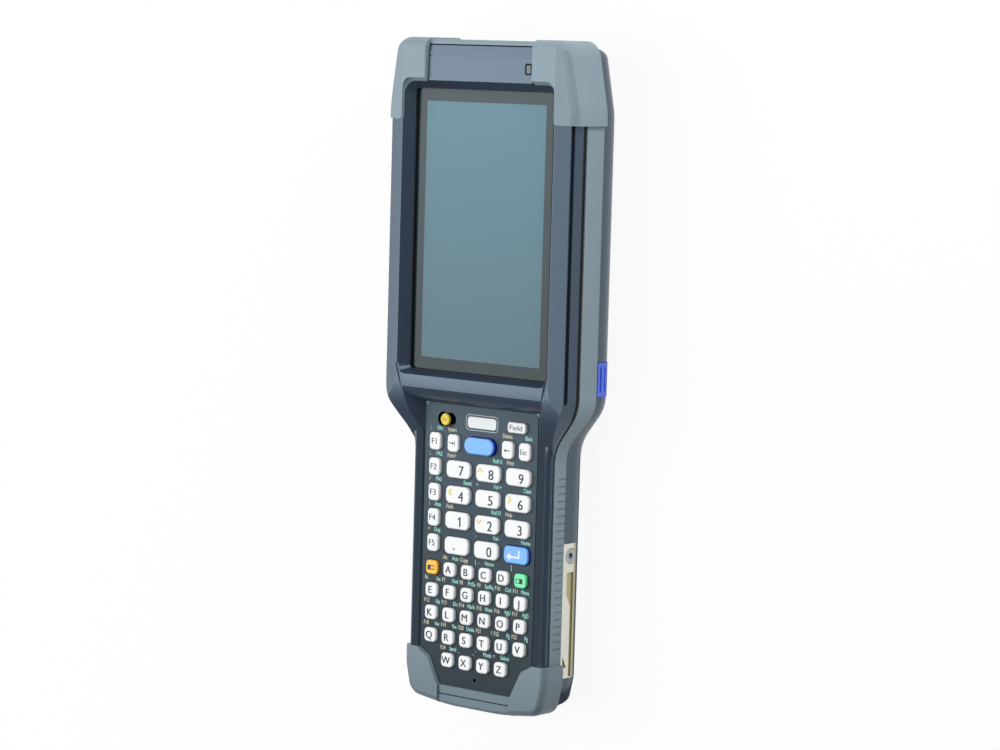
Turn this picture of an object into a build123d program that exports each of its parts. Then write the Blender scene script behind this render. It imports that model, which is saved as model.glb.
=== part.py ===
"""Portable barcode data terminal: a wide display head on a narrow keypad grip.

The terminal lies on its back. +X is to its right, +Y runs to its scanning end, +Z is up out of
the screen, and the origin is at the middle of its back. Sizes are in millimetres.
"""

from build123d import *
import math
import os

os.makedirs("parts", exist_ok=True)

# ---- plan of the body: corner points of its right half, with the radius of each corner ----
head_half_width = 40.6
grip_half_width = 30.4
top_corner_x = 36.2
top_y = 112.8
head_taper_y = 90.5
waist_top_y = -8.8
waist_bottom_y = -21.8
grip_end_y = -101.0
bottom_corner_x = 28.2
bottom_corner_y = -110.8
bottom_bend_x = 12.0
bottom_y = -113.0
top_corner_radius = 5.0
head_taper_radius = 30.0
waist_radius = 14.0
grip_end_radius = 15.0
bottom_corner_radius = 4.5
bottom_bend_radius = 60.0
least_radius = 0.6
reach = 160.0                    # half length of cutting blocks, well past the body

# ---- heights of the parting lines, in the head and in the grip ----
rail_low_head = 12.7
rail_low_grip = 14.9
rail_high_head = 21.5
rail_high_grip = 20.9
rim_low_head = 23.5
rim_low_grip = 21.9
front_z = 30.0
grip_front_z = 24.05

# ---- walls and fits ----
wall = 1.8
back_wall = 2.0
shell_inset = 0.8                # the rear shell lies this far inside the rails
rail_seat_inset = 2.1
seal_inset = 0.5
lip_gap = 0.3
back_radius = 10.0
back_angles = [0, 24, 48, 70, 90]   # where the rounded edge of the back is drawn, in degrees
fit = 0.15
seat_gap = 0.1
running_gap = 0.3
tiny = 0.1                       # pieces of one moulding run this far into each other

# ---- front of the head ----
front_taper = 1.66               # how far the rim leans in between its foot and its top
ridge_x = 33.5
ridge_drop = 0.24                # fall of the front beyond the ridge, per millimetre
plate_sink = 0.8                 # the plate above the display lies this far below the ridges
plate_z = front_z - plate_sink
plate_gap = 0.6                  # shadow gap between the plate and the bumper's corners
plate_gap_depth = 1.0
plate_line_y = 107.9             # fine line across the plate, and the slope that follows it
plate_line_width = 0.5
plate_line_depth = 0.3
plate_slope_y = 108.7
plate_slope = 0.14               # its fall, per millimetre
groove_z = 27.6                  # shadow groove along each side of the head, under the ridge
groove_radius = 0.7
groove_depth = 1.8
groove_end_y = -5.0
waist_fall = [(-8.0, 0.9), (-13.0, 2.3), (-19.0, 5.1), (-24.0, 7.8)]   # place, and fall of the ridges
waist_fall_slope = 0.45
waist_fall_end_y = -28.0
grip_edge_low = 0.4              # the rounded edge of the grip starts this far below its joint
grip_shoulder = [(0.0, 0.0), (0.25, 0.51), (0.9, 0.82), (2.2, 1.0)]   # inset, and share of the rise

# ---- display ----
display_y = 49.0
glass_width = 60.6
glass_length = 96.0
glass_radius = 1.5
glass_z = 25.56
glass_thickness = 1.5
lcd_width = 56.8
lcd_length = 92.0
lcd_corner = 0.8
bezel_wall_height = 1.1
bezel_lean_side = 2.9
bezel_lean_top = 3.2
bezel_lean_bottom = 1.5
bezel_mouth_radius = 3.4
mid_frame_z = 17.0
mid_frame_thickness = 1.2
mid_frame_gap = 0.4
mid_frame_overhang = 3.0         # how far the tray runs past the glass at each end
mid_frame_window = (34.0, 20.0, 3.0)
mid_frame_window_pitch = 28.0

# ---- keypad panel ----
panel_half_width = 24.95
panel_top_y = -10.1
panel_side_end_y = -95.2
panel_step_x = 20.3
panel_step_y = -97.8
panel_foot_x = 15.7
panel_foot_y = -107.0
panel_corner_radius = 2.4
panel_z = 23.64
panel_thickness = 1.2
panel_ledge = 1.05
panel_edge_radii = [panel_corner_radius, 1.2, 2.0, 1.0]
recess_sink = 0.2                # the keypad recess starts this far below the panel's face
recess_lean = 6.4                # how far the recess widens up to the front of the head
recess_top_y = 6.0               # its sides run on under the bar below the display
chin_top_y = -2.5                # where that bar starts to round off towards the keypad
crease_start = (33.4, 3.0)       # shallow crease between the end of the bar and each ridge
crease_end = (31.2, -5.0)
crease_radius = 0.8
crease_lift = 0.3
microphone_y = -103.7
microphone_radius = 0.6

# ---- keys ----
key_rise = 1.14
scan_key_rise = 1.7
key_travel = 0.8
key_hole_gap = 0.25
key_flange = 0.5
key_flange_thickness = 0.9
key_flange_gap = 0.2
key_soft_edge = 0.55
column_pitch = 7.91
row_pitch = 7.82
letter_row_y = -66.9
letter_columns = 6
number_pitch_x = 13.245
number_pitch_y = 8.76
number_column_x = -8.93
number_row_y = -32.15
function_column_x = -19.7
function_keys = 5
function_row_y = -23.3
tab_x = -11.6
scan_x = 0.4
back_x = 12.6
escape_x = 20.1
status_row_y = -15.5
power_x = -15.4
field_x = 16.4
letter_size = (5.35, 4.95)
number_size = (10.7, 6.0)
small_size = (5.05, 6.1)
scan_key_size = (13.1, 5.8)
field_key_size = (8.1, 3.7)
power_key_diameter = 4.2
power_well_size = (8.2, 5.0)     # the power key stands in this stadium-shaped well
power_ring = (1.05, 1.35, 0.2)   # inner and outer radius and depth of the ring in its top
small_radius = 1.5
wide_radius = 1.9
field_radius = 1.2
indicator_place = (0.3, status_row_y)
indicator_size = (12.6, 3.8)
indicator_radius = 1.1
indicator_rim = 0.8
indicator_rim_thickness = 0.8

# ---- status light ----
led_place = (21.0, 104.2)
led_size = (2.4, 3.3)
led_radius = 0.5
led_depth = 1.6

# ---- inside ----
mat_thickness = 0.8
mat_pad_height = 0.4
mat_pad_size = 3.0
mat_margin = 0.3
press_clearance = 0.1
board_thickness = 1.6
board_margin = 1.7
board_post_x = 14.0
board_post_rows = (-28.0, -60.0, -92.0)
board_post_radius = 2.0
mainboard_z = 14.0
mainboard_half_width = 26.5
mainboard_length = 98.0
mainboard_y = 44.0
mainboard_radius = 3.0
mainboard_post_x = 24.0
mainboard_post_rows = (5.0, 62.0)
mainboard_post_radius = 2.4
shield_height = 1.2
shield_radius = 0.8
shield_cans = [(-11, 70, 22, 26), (12, 68, 18, 20), (-8, 30, 30, 22), (14, 22, 10, 14)]
well_roof_z = 13.7
inner_back_inset = 7.3
inner_step_z = 6.0

# ---- screws that clamp the shells together ----
screw_place_head = (30.0, 86.0)
screw_place_waist = (26.5, -12.5)
screw_place_foot = (18.0, -104.2)
screw_radius = 1.2
screw_head_radius = 2.3
screw_head_height = 1.6
screw_head_sink = 1.0
screw_thread_fit = 0.05
screw_tip_z = 21.2
screw_socket_radius = 1.1
screw_socket_depth = 0.9
boss_radius = 3.0

# ---- scanning end, camera and speaker ----
window_half_width = 14.5
window_low_z = 3.6
window_high_z = 12.0
window_depth = 5.4
window_sink = 0.5
engine_half_width = 12.0
engine_low_y = 87.0
engine_high_y = 105.0
engine_low_z = 3.0
engine_high_z = 13.0
engine_corner = 1.5
engine_eye_z = 8.0
engine_lens = (-4.0, 3.4, 1.9)   # place across the engine, radius, and how far it stands out
engine_lamp = (5.5, 2.2, 1.9)
camera_place = (21.5, 99.0)
camera_radius = 4.0
back_sink = 0.3                  # pieces in the back lie this far inside it
camera_barrel_high = 6.0
camera_carrier_z = (4.0, 7.5)
camera_carrier_margin = 1.0
camera_rim = 1.6
camera_lens_sink = 0.8
flash_place = (21.5, 90.5)
flash_radius = 2.0
speaker_place = (0.0, 38.0)
speaker_radius = 10.0
speaker_rim_height = 1.4
speaker_height = 4.0
speaker_magnet_share = 0.7
grille_slots = 6
grille_pitch = 2.8
grille_slot = (13.0, 1.3)

# ---- charging contacts ----
dock_half_width = 9.0
dock_low_z = 4.2
dock_high_z = 8.2
dock_depth = 6.0
dock_sink = 0.6
dock_contacts = 6
dock_pitch = 2.6
dock_slot = (1.2, 1.6)           # width and height of each contact's slot
dock_slot_depth = 2.0

# ---- battery and its latch ----
battery_half_width = 23.5
battery_top_y = -22.0
battery_end_y = -99.0
battery_thickness = 11.9
battery_contact_half_width = 8.0
battery_contact_length = 3.0
battery_contact_depth = 1.2
latch_width = 14.0
latch_length = 7.0
latch_travel = 3.0
latch_end_wall = 1.4
latch_pad_height = 2.0
latch_flange = 1.6
latch_flange_height = 1.4
latch_tongue_half_width = 3.0
latch_ribs = 3
latch_rib_pitch = 1.7
latch_rib_first = 1.8
latch_rib_width = 0.8
latch_rib_depth = 0.8
latch_rib_margin = 2.0
spring_turns = 4
spring_wire = 0.4
spring_half_width = 4.0
spring_height = 1.2
spring_room = 2.2                # room left for the spring when the latch is drawn back

# ---- side buttons and side plates ----
button_y = 1.9
button_length = 11.4
button_low_z = 5.6
button_high_z = 11.8
button_proud = 0.5
button_flange = 0.8
button_travel = 0.7
button_flange_thickness = 0.8
button_flute_length = 8.4
button_flute_width = 0.8
button_flute_offsets = (-1.2, 1.2)
button_flute_depth = 0.5
plate_top_y = -54.3
plate_end_y = -100.3
plate_low_z = 6.9
plate_high_z = 14.0
plate_thickness = 1.1
plate_relief = 0.7               # depth of the sunk window and groove in the plate
plate_window = (-72.1, -64.2, 8.2, 12.0)
plate_groove = (-74.4, 8.2, 9.8)
plate_notch = (-92.6, -96.6, 11.0, 13.0)
plate_rim = 0.5                  # rim of the plate beyond its groove and its window
plate_link_slant = 1.2
plate_screw_y = -58.6
plate_screw_z = 10.1
plate_screw_head = 2.6
plate_screw_radius = 1.0
plate_screw_length = 3.6
plate_screw_socket = 1.2
plate_screw_socket_depth = 0.8

# ---- bumpers and rails ----
bumper_proud = 1.2
bumper_rise = 0.6
bumper_side_drop = 2.6           # height of the rounded edge of the bumper on the head
foot_side_drop = 2.2             # the same on the grip
bumper_crown = [(0.0, 0.0), (0.15, 0.45), (0.45, 0.8), (1.1, 1.0)]   # inset and rise, as shares of it
cap_inner_x = 23.2
cap_side_x = 33.1
cap_inner_y = 99.2
cap_end_y = 86.2
cap_corner_radius = 4.0
cap_end_radius = 0.8
cap_depth = 1.4                  # the corners reach this far down into the front
bumper_soft_edge = 0.35
strip_proud = 0.7                # the strip that joins the corners stands out less than they do
strip_side_drop = 1.2
strip_overlap = 1.0
cap_strip_depth = 4.0            # how far in the upper strip reaches
cap_strip_z = 28.6
foot_bumper_y = -95.2
foot_lean = 0.6                  # the inner side of the lower bumper leans out by this much
foot_seat_z = 22.6
foot_strip_x = 16.0
foot_strip_proud = 1.0
foot_strip_z = 23.9
foot_line_y = -110.2             # fine line along the lower strip
strip_gap = 0.4
strip_gap_depth = 1.5
valley_radius = 3.05             # hollow along the outer edge of each corner of the bumper on the head
valley_path = [(42.3, 80.0, 29.85), (42.3, 90.5, 29.85), (38.0, 115.0, 31.6)]
rib_count = 24
rib_pitch = 2.5
rib_first_y = -32.0
rib_width = 0.6
rib_depth = 0.3
rib_high_z = 19.2


def inset_points(points, inset):
    """Move every side of a clockwise polygon inwards by inset and give its new corners."""
    moved = []
    count = len(points)
    for i in range(count):
        before = Vector(*points[i]) - Vector(*points[i - 1])
        after = Vector(*points[(i + 1) % count]) - Vector(*points[i])
        normal_in = Vector(before.Y, -before.X).normalized()
        normal_out = Vector(after.Y, -after.X).normalized()
        shift = (normal_in + normal_out) * (inset / (1 + normal_in.dot(normal_out)))
        moved.append(Vector(*points[i]) + shift)
    return moved


def rounded_face(points, radii, inset, z):
    """Face of a clockwise polygon moved in by inset, its rounded corners kept concentric."""
    corners = inset_points(points, inset)
    count = len(points)
    new_radii = []
    for i in range(count):
        before = corners[i] - corners[i - 1]
        after = corners[(i + 1) % count] - corners[i]
        convex = before.cross(after).Z < 0
        new_radii.append(max(radii[i] - inset if convex else radii[i] + inset, least_radius))
    outline = FilletPolyline(*corners, radius=new_radii, close=True)
    return Pos(0, 0, z) * make_face(outline)


def both_sides(points, values):
    """Complete a half outline, given from top to bottom on the right, with its left half."""
    left = [(-x, y) for x, y in reversed(points)]
    return points + left, values + list(reversed(values))


def plan(inset, z):
    """Plan of the whole body, moved in by inset, at height z."""
    points = [
        (top_corner_x, top_y),
        (head_half_width, head_taper_y),
        (head_half_width, waist_top_y),
        (grip_half_width, waist_bottom_y),
        (grip_half_width, grip_end_y),
        (bottom_corner_x, bottom_corner_y),
        (bottom_bend_x, bottom_y),
    ]
    radii = [
        top_corner_radius,
        head_taper_radius,
        waist_radius,
        waist_radius,
        grip_end_radius,
        bottom_corner_radius,
        bottom_bend_radius,
    ]
    return rounded_face(*both_sides(points, radii), inset, z)


def panel_plan(inset, z, high_y=panel_top_y):
    """Plan of the keypad panel, moved in by inset, at height z; high_y is its upper edge."""
    points = [
        (panel_half_width, high_y),
        (panel_half_width, panel_side_end_y),
        (panel_step_x, panel_step_y),
        (panel_foot_x, panel_foot_y),
    ]
    return rounded_face(*both_sides(points, panel_edge_radii), inset, z)


def block(x_low, x_high, y_low, y_high, z_low, z_high):
    """Box between two opposite corners."""
    box = Box(x_high - x_low, y_high - y_low, z_high - z_low)
    return Pos((x_low + x_high) / 2, (y_low + y_high) / 2, (z_low + z_high) / 2) * box


def mirrored(shape):
    """The shape together with its mirror image across the middle of the body."""
    return shape + mirror(shape, Plane.YZ)


def band(head_low, head_high, grip_low, grip_high):
    """Slab right across the body between two heights, which step down through the waist."""
    profile = Polyline(
        (reach, head_low),
        (waist_top_y, head_low),
        (waist_bottom_y, grip_low),
        (-reach, grip_low),
        (-reach, grip_high),
        (waist_bottom_y, grip_high),
        (waist_top_y, head_high),
        (reach, head_high),
        close=True,
    )
    return extrude(make_face(Plane.YZ * profile), reach, both=True)


def prism(face, z_low, z_high):
    """Upright prism on a plan face drawn at height 0."""
    return Pos(0, 0, z_low) * extrude(face, z_high - z_low)


def tube(start, end, radius):
    """Round bar between two points."""
    way = Vector(*end) - Vector(*start)
    return extrude(Plane(origin=start, z_dir=way) * Circle(radius), way.length)


def round_backed(inset):
    """The body's back half as a solid whose lower edge is rounded all the way round."""
    sections = []
    for angle in back_angles:
        bend = math.radians(angle)
        in_from_side = back_radius * (1 - math.sin(bend))
        height = back_radius * (1 - math.cos(bend))
        sections.append(plan(inset + in_from_side, height))
    lower = loft(sections)
    return lower + prism(plan(inset, 0), back_radius, rail_high_head)


def rear_body():
    """Outer form of the rear shell, with the rebate that the side rails sit in."""
    hull = round_backed(shell_inset) & band(-1, rail_low_head, -1, rail_low_grip)
    collar = prism(plan(rail_seat_inset, 0), back_radius, rail_high_head)
    return hull + (collar & band(-1, rail_high_head, -1, rail_high_grip))


def ridge_slopes(lift):
    """Space above the slopes outside the two ridges of the head, raised by lift."""
    low = front_z - (reach - ridge_x) * ridge_drop
    wedge = Polyline((ridge_x, front_z), (reach, low), (reach, reach), (ridge_x, reach), close=True)
    slope = extrude(make_face(Plane.XZ * wedge), reach, both=True)
    return Pos(0, 0, lift) * mirrored(slope)


def head_front():
    """The raised front of the head, leaning in to its top and falling away through the waist."""
    foot = prism(plan(0, 0), rail_high_grip - 1, rim_low_head)
    form = foot + loft([plan(0, rim_low_head), plan(front_taper, front_z)], ruled=True)
    places = [(0.0, front_z)]
    places += [(y, front_z - drop) for y, drop in waist_fall]
    places.append((waist_fall_end_y, rail_high_grip - 1))
    fall = Spline(*places, tangents=[(-1, 0), (-1, -waist_fall_slope)])
    rest = Polyline(fall @ 1, (reach, rail_high_grip - 1), (reach, front_z), fall @ 0)
    side_view = extrude(make_face(Plane.YZ * (fall + rest)), reach, both=True)
    return (form & side_view) - ridge_slopes(0)


def grip_front():
    """The lower front of the grip, with a softly rounded edge."""
    low = rim_low_grip - grip_edge_low
    rise = grip_front_z - low
    return loft([plan(inset, low + share * rise) for inset, share in grip_shoulder])


def side_grooves():
    """Long shadow groove with a round end along each side of the head, under the ridge."""
    depth_x = head_half_width - front_taper - groove_depth
    slot = block(depth_x, reach, groove_end_y, cap_end_y, groove_z - groove_radius, groove_z + groove_radius)
    end = Rot(0, 90, 0) * Cylinder(groove_radius, reach, align=(Align.CENTER, Align.CENTER, Align.MIN))
    return mirrored(slot + Pos(depth_x, groove_end_y, groove_z) * end)


def plate_cuts():
    """What is taken off the front between the bumper's corners: the sunk plate and its lines."""
    low_y = display_y + glass_length / 2
    sunk = block(-cap_inner_x, cap_inner_x, low_y, reach, plate_z, reach)
    fall = (reach - plate_slope_y) * plate_slope
    wedge = Polyline(
        (plate_slope_y, plate_z), (reach, plate_z - fall), (reach, reach), (plate_slope_y, reach), close=True
    )
    sunk += extrude(make_face(Plane.YZ * wedge), cap_inner_x, both=True)
    line_low = plate_line_y - plate_line_width / 2
    line = block(0, cap_inner_x, line_low, line_low + plate_line_width, plate_z - plate_line_depth, reach)
    gap = block(cap_inner_x - plate_gap, cap_inner_x, cap_inner_y, reach, plate_z - plate_gap_depth, reach)
    return sunk + mirrored(line + gap)


def chin_creases():
    """Shallow crease where each end of the bar below the display meets the ridge."""
    z = front_z + crease_lift
    return mirrored(tube((*crease_start, z), (*crease_end, z), crease_radius))


def front_body():
    """Outer form of the front shell before the display and keypad are cut into it."""
    form = (head_front() + grip_front()) & band(rim_low_head, reach, rim_low_grip, reach)
    return form - side_grooves() - plate_cuts() - chin_creases()


def bezel_opening():
    """The recess that leads down to the glass: upright at its foot, then leaning out."""
    half_width = glass_width / 2 + fit
    half_length = glass_length / 2 + fit
    foot_z = glass_z + bezel_wall_height
    foot = Pos(0, display_y) * RectangleRounded(2 * half_width, 2 * half_length, glass_radius + fit)
    y_low = display_y - half_length - bezel_lean_bottom
    y_high = display_y + half_length + bezel_lean_top
    mouth_width = 2 * (half_width + bezel_lean_side)
    mouth = RectangleRounded(mouth_width, y_high - y_low, bezel_mouth_radius)
    mouth = Pos(0, (y_low + y_high) / 2, front_z) * mouth
    upright = prism(foot, glass_z - glass_thickness, foot_z)
    lean = loft([Pos(0, 0, foot_z) * foot, mouth], ruled=True)
    above = extrude(mouth, 2 * bumper_rise)
    return upright + lean + above


def keypad_recess():
    """The recess round the keypad: leaning sides, and a rounded fall from the bar above it."""
    low_z = panel_z - recess_sink
    narrow = panel_plan(-seat_gap, low_z, recess_top_y)
    wide = panel_plan(-seat_gap - recess_lean, front_z, recess_top_y)
    sides = loft([narrow, wide], ruled=True)
    fall_length = chin_top_y - panel_top_y - seat_gap
    fall_height = front_z - low_z
    fall = EllipticalCenterArc((chin_top_y, low_z), fall_length, fall_height, start_angle=90, arc_size=90)
    rest = Polyline(fall @ 1, (-reach, low_z), (-reach, front_z), fall @ 0)
    below_bar = extrude(make_face(Plane.YZ * (fall + rest)), reach, both=True)
    return sides & below_bar


def screw_places():
    """Centres of the screws that hold the rear shell to the front shell."""
    right = [screw_place_head, screw_place_waist, screw_place_foot]
    return right + [(-x, y) for x, y in right]


def screw_bores(radius):
    """Upright holes of one radius at every housing screw."""
    shaft = Cylinder(radius, screw_tip_z + fit, align=(Align.CENTER, Align.CENTER, Align.MIN))
    return Part() + [Pos(x, y, 0) * shaft for x, y in screw_places()]


def cap_corners(top_z):
    """Upright space of the bumper's two corners on the head, its upper rim bevelled."""
    points = [
        (cap_inner_x, reach),
        (reach, reach),
        (reach, cap_end_y),
        (cap_side_x, cap_end_y),
        (cap_side_x, cap_inner_y),
        (cap_inner_x, cap_inner_y),
    ]
    radii = [least_radius, least_radius, least_radius, cap_end_radius, cap_corner_radius, cap_end_radius]
    edge_z = top_z - bumper_soft_edge
    upright = prism(rounded_face(points, radii, 0, 0), 0, edge_z)
    rim = [rounded_face(points, radii, 0, edge_z), rounded_face(points, radii, bumper_soft_edge, top_z)]
    return mirrored(upright + loft(rim, ruled=True))


def cap_seats():
    """What the front shell gives up to the bumper's corners on the head."""
    seat_z = front_z - cap_depth
    return cap_corners(front_z + reach) & block(-reach, reach, 0, reach, seat_z, reach)


def foot_space():
    """Space below the keypad's sides, right across the grip, that the lower bumper fills."""
    top_z = grip_front_z + bumper_rise
    beside = prism(panel_plan(-seat_gap, 0), 0, panel_z)
    mouth = panel_plan(-seat_gap - foot_lean, top_z)
    beside += loft([panel_plan(-seat_gap, panel_z), mouth], ruled=True)
    return block(-reach, reach, -reach, foot_bumper_y, foot_seat_z, top_z) - beside


def make_front_housing():
    """Front shell: display bezel and keypad surround, with a skirt inside the rear shell."""
    skirt = prism(plan(rail_seat_inset + wall + lip_gap, 0), mid_frame_z, rim_low_head + tiny)
    board_top = keypad_board_z() + board_thickness
    skirt &= band(mid_frame_z + mid_frame_thickness, reach, board_top, foot_seat_z)
    shell = front_body() - cap_seats() - foot_space() + skirt
    shell -= bezel_opening()
    shell -= block(
        -lcd_width / 2 - fit,
        lcd_width / 2 + fit,
        display_y - lcd_length / 2 - fit,
        display_y + lcd_length / 2 + fit,
        0,
        glass_z,
    )
    shell -= keypad_recess()
    shell -= prism(panel_plan(-seat_gap, 0), panel_z - panel_thickness, panel_z)
    shell -= prism(panel_plan(panel_ledge, 0), 0, panel_z)
    shell -= prism(panel_plan(panel_ledge - board_margin - fit, 0), 0, board_top)
    led_width, led_length = led_size
    led_hole = RectangleRounded(led_width + 2 * seat_gap, led_length + 2 * seat_gap, led_radius + seat_gap)
    shell -= Pos(*led_place, plate_z - led_depth) * extrude(led_hole, led_depth + 1)
    shell -= screw_bores(screw_radius + screw_thread_fit)
    return shell


def make_perimeter_seal():
    """Dark rubber strip in the joint between the two shells."""
    outer = prism(plan(seal_inset, 0), rail_high_grip, rim_low_head)
    inner = prism(plan(rail_seat_inset + wall, 0), rail_high_grip, rim_low_head)
    return (outer - inner) & band(rail_high_head, rim_low_head, rail_high_grip, rim_low_grip)


def keypad_board_z():
    """Height of the keypad board's underside, worked down from the keypad panel."""
    flange_top = panel_z - panel_thickness - key_flange_gap
    pad_top = flange_top - key_flange_thickness - key_travel - press_clearance
    return pad_top - mat_pad_height - mat_thickness - board_thickness


def battery_space(gap):
    """Block that the battery fills, grown by gap on its sides."""
    return block(
        -battery_half_width - gap,
        battery_half_width + gap,
        battery_end_y - gap,
        battery_top_y + gap,
        -1,
        battery_thickness + gap,
    )


def button_block(gap, depth_low, depth_high):
    """Block of the right scan button between two distances from the middle."""
    return block(
        depth_low,
        depth_high,
        button_y - button_length / 2 - gap,
        button_y + button_length / 2 + gap,
        button_low_z - gap,
        button_high_z + gap,
    )


def plate_block(gap):
    """Block of the right side plate, grown by gap on its edges."""
    return block(
        grip_half_width - shell_inset - plate_thickness - gap,
        grip_half_width + 1,
        plate_end_y - gap,
        plate_top_y + gap,
        plate_low_z - gap,
        plate_high_z + gap,
    )


def latch_rest_y():
    """Lower end of the latch body at rest, just above the battery well's end wall."""
    return battery_top_y + running_gap + latch_end_wall


def latch_space(gap):
    """Pocket of the latch and its spring: a slot on the back with wider grooves inside it."""
    y_low = latch_rest_y() - gap
    y_high = latch_rest_y() + latch_length + latch_travel + spring_room
    half = latch_width / 2 + gap
    slot = block(-half, half, y_low, y_high, -1, latch_pad_height + 2 * gap + latch_flange_height)
    groove_low = latch_pad_height + gap / 2
    groove_high = groove_low + latch_flange_height + gap
    grooves = block(-half - latch_flange, half + latch_flange, y_low, y_high, groove_low, groove_high)
    tongue_half = latch_tongue_half_width + gap
    passage = block(-tongue_half, tongue_half, battery_top_y, y_low + 1, groove_low, groove_high)
    return slot + grooves + passage


def wall_inner_x():
    """Distance from the middle to the inner face of the head's side wall."""
    return head_half_width - rail_seat_inset - wall


def round_post(place, radius, z_low, z_high):
    """Upright round post or hole at one place."""
    return prism(Pos(*place) * Circle(radius), z_low, z_high)


def rear_posts():
    """Posts and bosses inside the rear shell that carry the boards and take the screws."""
    low = back_wall / 2
    posts = block(
        1 - engine_half_width, engine_half_width - 1, engine_low_y + 1, engine_high_y - 1, low, engine_low_z
    )
    for x, y in screw_places():
        if y > waist_top_y:
            posts += round_post((x, y), boss_radius, low, mid_frame_z)
        if y < battery_end_y:
            posts += round_post((x, y), boss_radius, well_roof_z - 1, keypad_board_z() + board_thickness)
    carriers = []
    for y in mainboard_post_rows:
        carriers.append(round_post((mainboard_post_x, y), mainboard_post_radius, low, mainboard_z))
    for y in board_post_rows:
        carriers.append(round_post((board_post_x, y), board_post_radius, well_roof_z - 1, keypad_board_z()))
    return posts + mirrored(Part() + carriers)


def back_openings():
    """Every hole that reaches in from outside the rear shell."""
    holes = screw_bores(screw_radius + fit)
    for place in screw_places():
        holes += round_post(place, screw_head_radius + fit, -1, screw_head_height + screw_head_sink)
    holes += block(-window_half_width, window_half_width, top_y - 12, reach, window_low_z, window_high_z)
    holes += round_post(camera_place, camera_radius + fit, -1, back_wall + 1)
    holes += round_post(flash_place, flash_radius + fit, -1, back_wall + 1)
    for i in range(grille_slots):
        slot_y = speaker_place[1] + (i - (grille_slots - 1) / 2) * grille_pitch
        holes += prism(Pos(speaker_place[0], slot_y) * SlotOverall(*grille_slot), -1, back_wall + 0.5)
    holes += block(-dock_half_width, dock_half_width, -reach, bottom_y + dock_depth, dock_low_z, dock_high_z)
    wall_x = wall_inner_x()
    room = 2 * seat_gap + button_flange_thickness + button_travel + running_gap
    button_hole = button_block(fit, wall_x - room, reach)
    flange_room = button_block(button_flange + running_gap, wall_x - room, wall_x)
    bore = Rot(0, 90, 0) * Cylinder(plate_screw_radius + screw_thread_fit, reach)
    bore = Pos(0, plate_screw_y, plate_screw_z) * bore
    bore &= block(battery_half_width + 4 * running_gap, reach, -reach, reach, 0, reach)
    return holes + mirrored(button_hole + flange_room + plate_block(seat_gap) + bore)


def make_rear_housing():
    """Rear shell: a round-edged tub with the battery well, rail rebate and all back openings."""
    shell = rear_body()
    inner = rail_seat_inset + wall
    head_only = block(-reach, reach, waist_top_y + 1, reach, 0, reach)
    shell -= prism(plan(inner_back_inset, 0), back_wall, reach) & head_only
    shell -= prism(plan(inner, 0), inner_step_z, reach) & head_only
    shell -= prism(plan(inner, 0), well_roof_z, reach)
    shell -= battery_space(running_gap)
    shell -= latch_space(fit)
    return shell + rear_posts() - back_openings()


def make_side_rail(side):
    """Rubber rail along one side, with finger grooves across it on the grip."""
    ring = prism(plan(0, 0), rail_low_head, rail_high_head)
    ring -= prism(plan(rail_seat_inset, 0), 0, reach)
    rail = ring & band(rail_low_head, rail_high_head, rail_low_grip, rail_high_grip)
    rail &= block(0, reach, foot_bumper_y, cap_end_y, 0, reach)
    cut_x = grip_half_width - rib_depth
    for i in range(rib_count):
        y = rib_first_y - i * rib_pitch
        rail -= block(cut_x, reach, y - rib_width / 2, y + rib_width / 2, 0, rib_high_z)
    return rail if side > 0 else mirror(rail, Plane.YZ)


def bumper_form(proud, low_z, side_z, top_z):
    """Body form grown by proud, its front edge rounded over between side_z and top_z."""
    rise = top_z - side_z
    upright = prism(plan(-proud, 0), low_z, side_z)
    crown = loft([plan(inset * rise - proud, side_z + share * rise) for inset, share in bumper_crown])
    return upright + crown


def corner_valleys():
    """Hollow along the outer edge of each corner of the bumper on the head."""
    start, bend, end = valley_path
    valley = tube(start, bend, valley_radius) + tube(bend, end, valley_radius)
    return mirrored(valley + Pos(*bend) * Sphere(valley_radius))


def make_top_bumper():
    """Rubber bumper over both corners of the head, joined across the scanning end."""
    top_z = front_z + bumper_rise
    form = bumper_form(bumper_proud, rail_low_head, front_z - bumper_side_drop, top_z)
    strip = bumper_form(strip_proud, rail_low_head, cap_strip_z - strip_side_drop, cap_strip_z)
    strip_x = cap_inner_x + strip_overlap
    strip &= block(-strip_x, strip_x, top_y - cap_strip_depth, reach, 0, reach)
    gap_y = top_y - front_taper * (cap_strip_z - rim_low_head) / (front_z - rim_low_head) + strip_gap
    strip -= block(-cap_inner_x, cap_inner_x, 0, gap_y, cap_strip_z - strip_gap_depth, reach)
    bumper = (form & cap_corners(top_z)) + strip
    bumper -= prism(plan(rail_seat_inset, 0), 0, rim_low_head)
    bumper -= front_body() - cap_seats()
    bumper -= rear_body()
    bumper -= prism(plan(seal_inset, 0), rail_high_head, rim_low_head)
    bumper -= bezel_opening()
    return bumper - ridge_slopes(bumper_rise) - corner_valleys()


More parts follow.
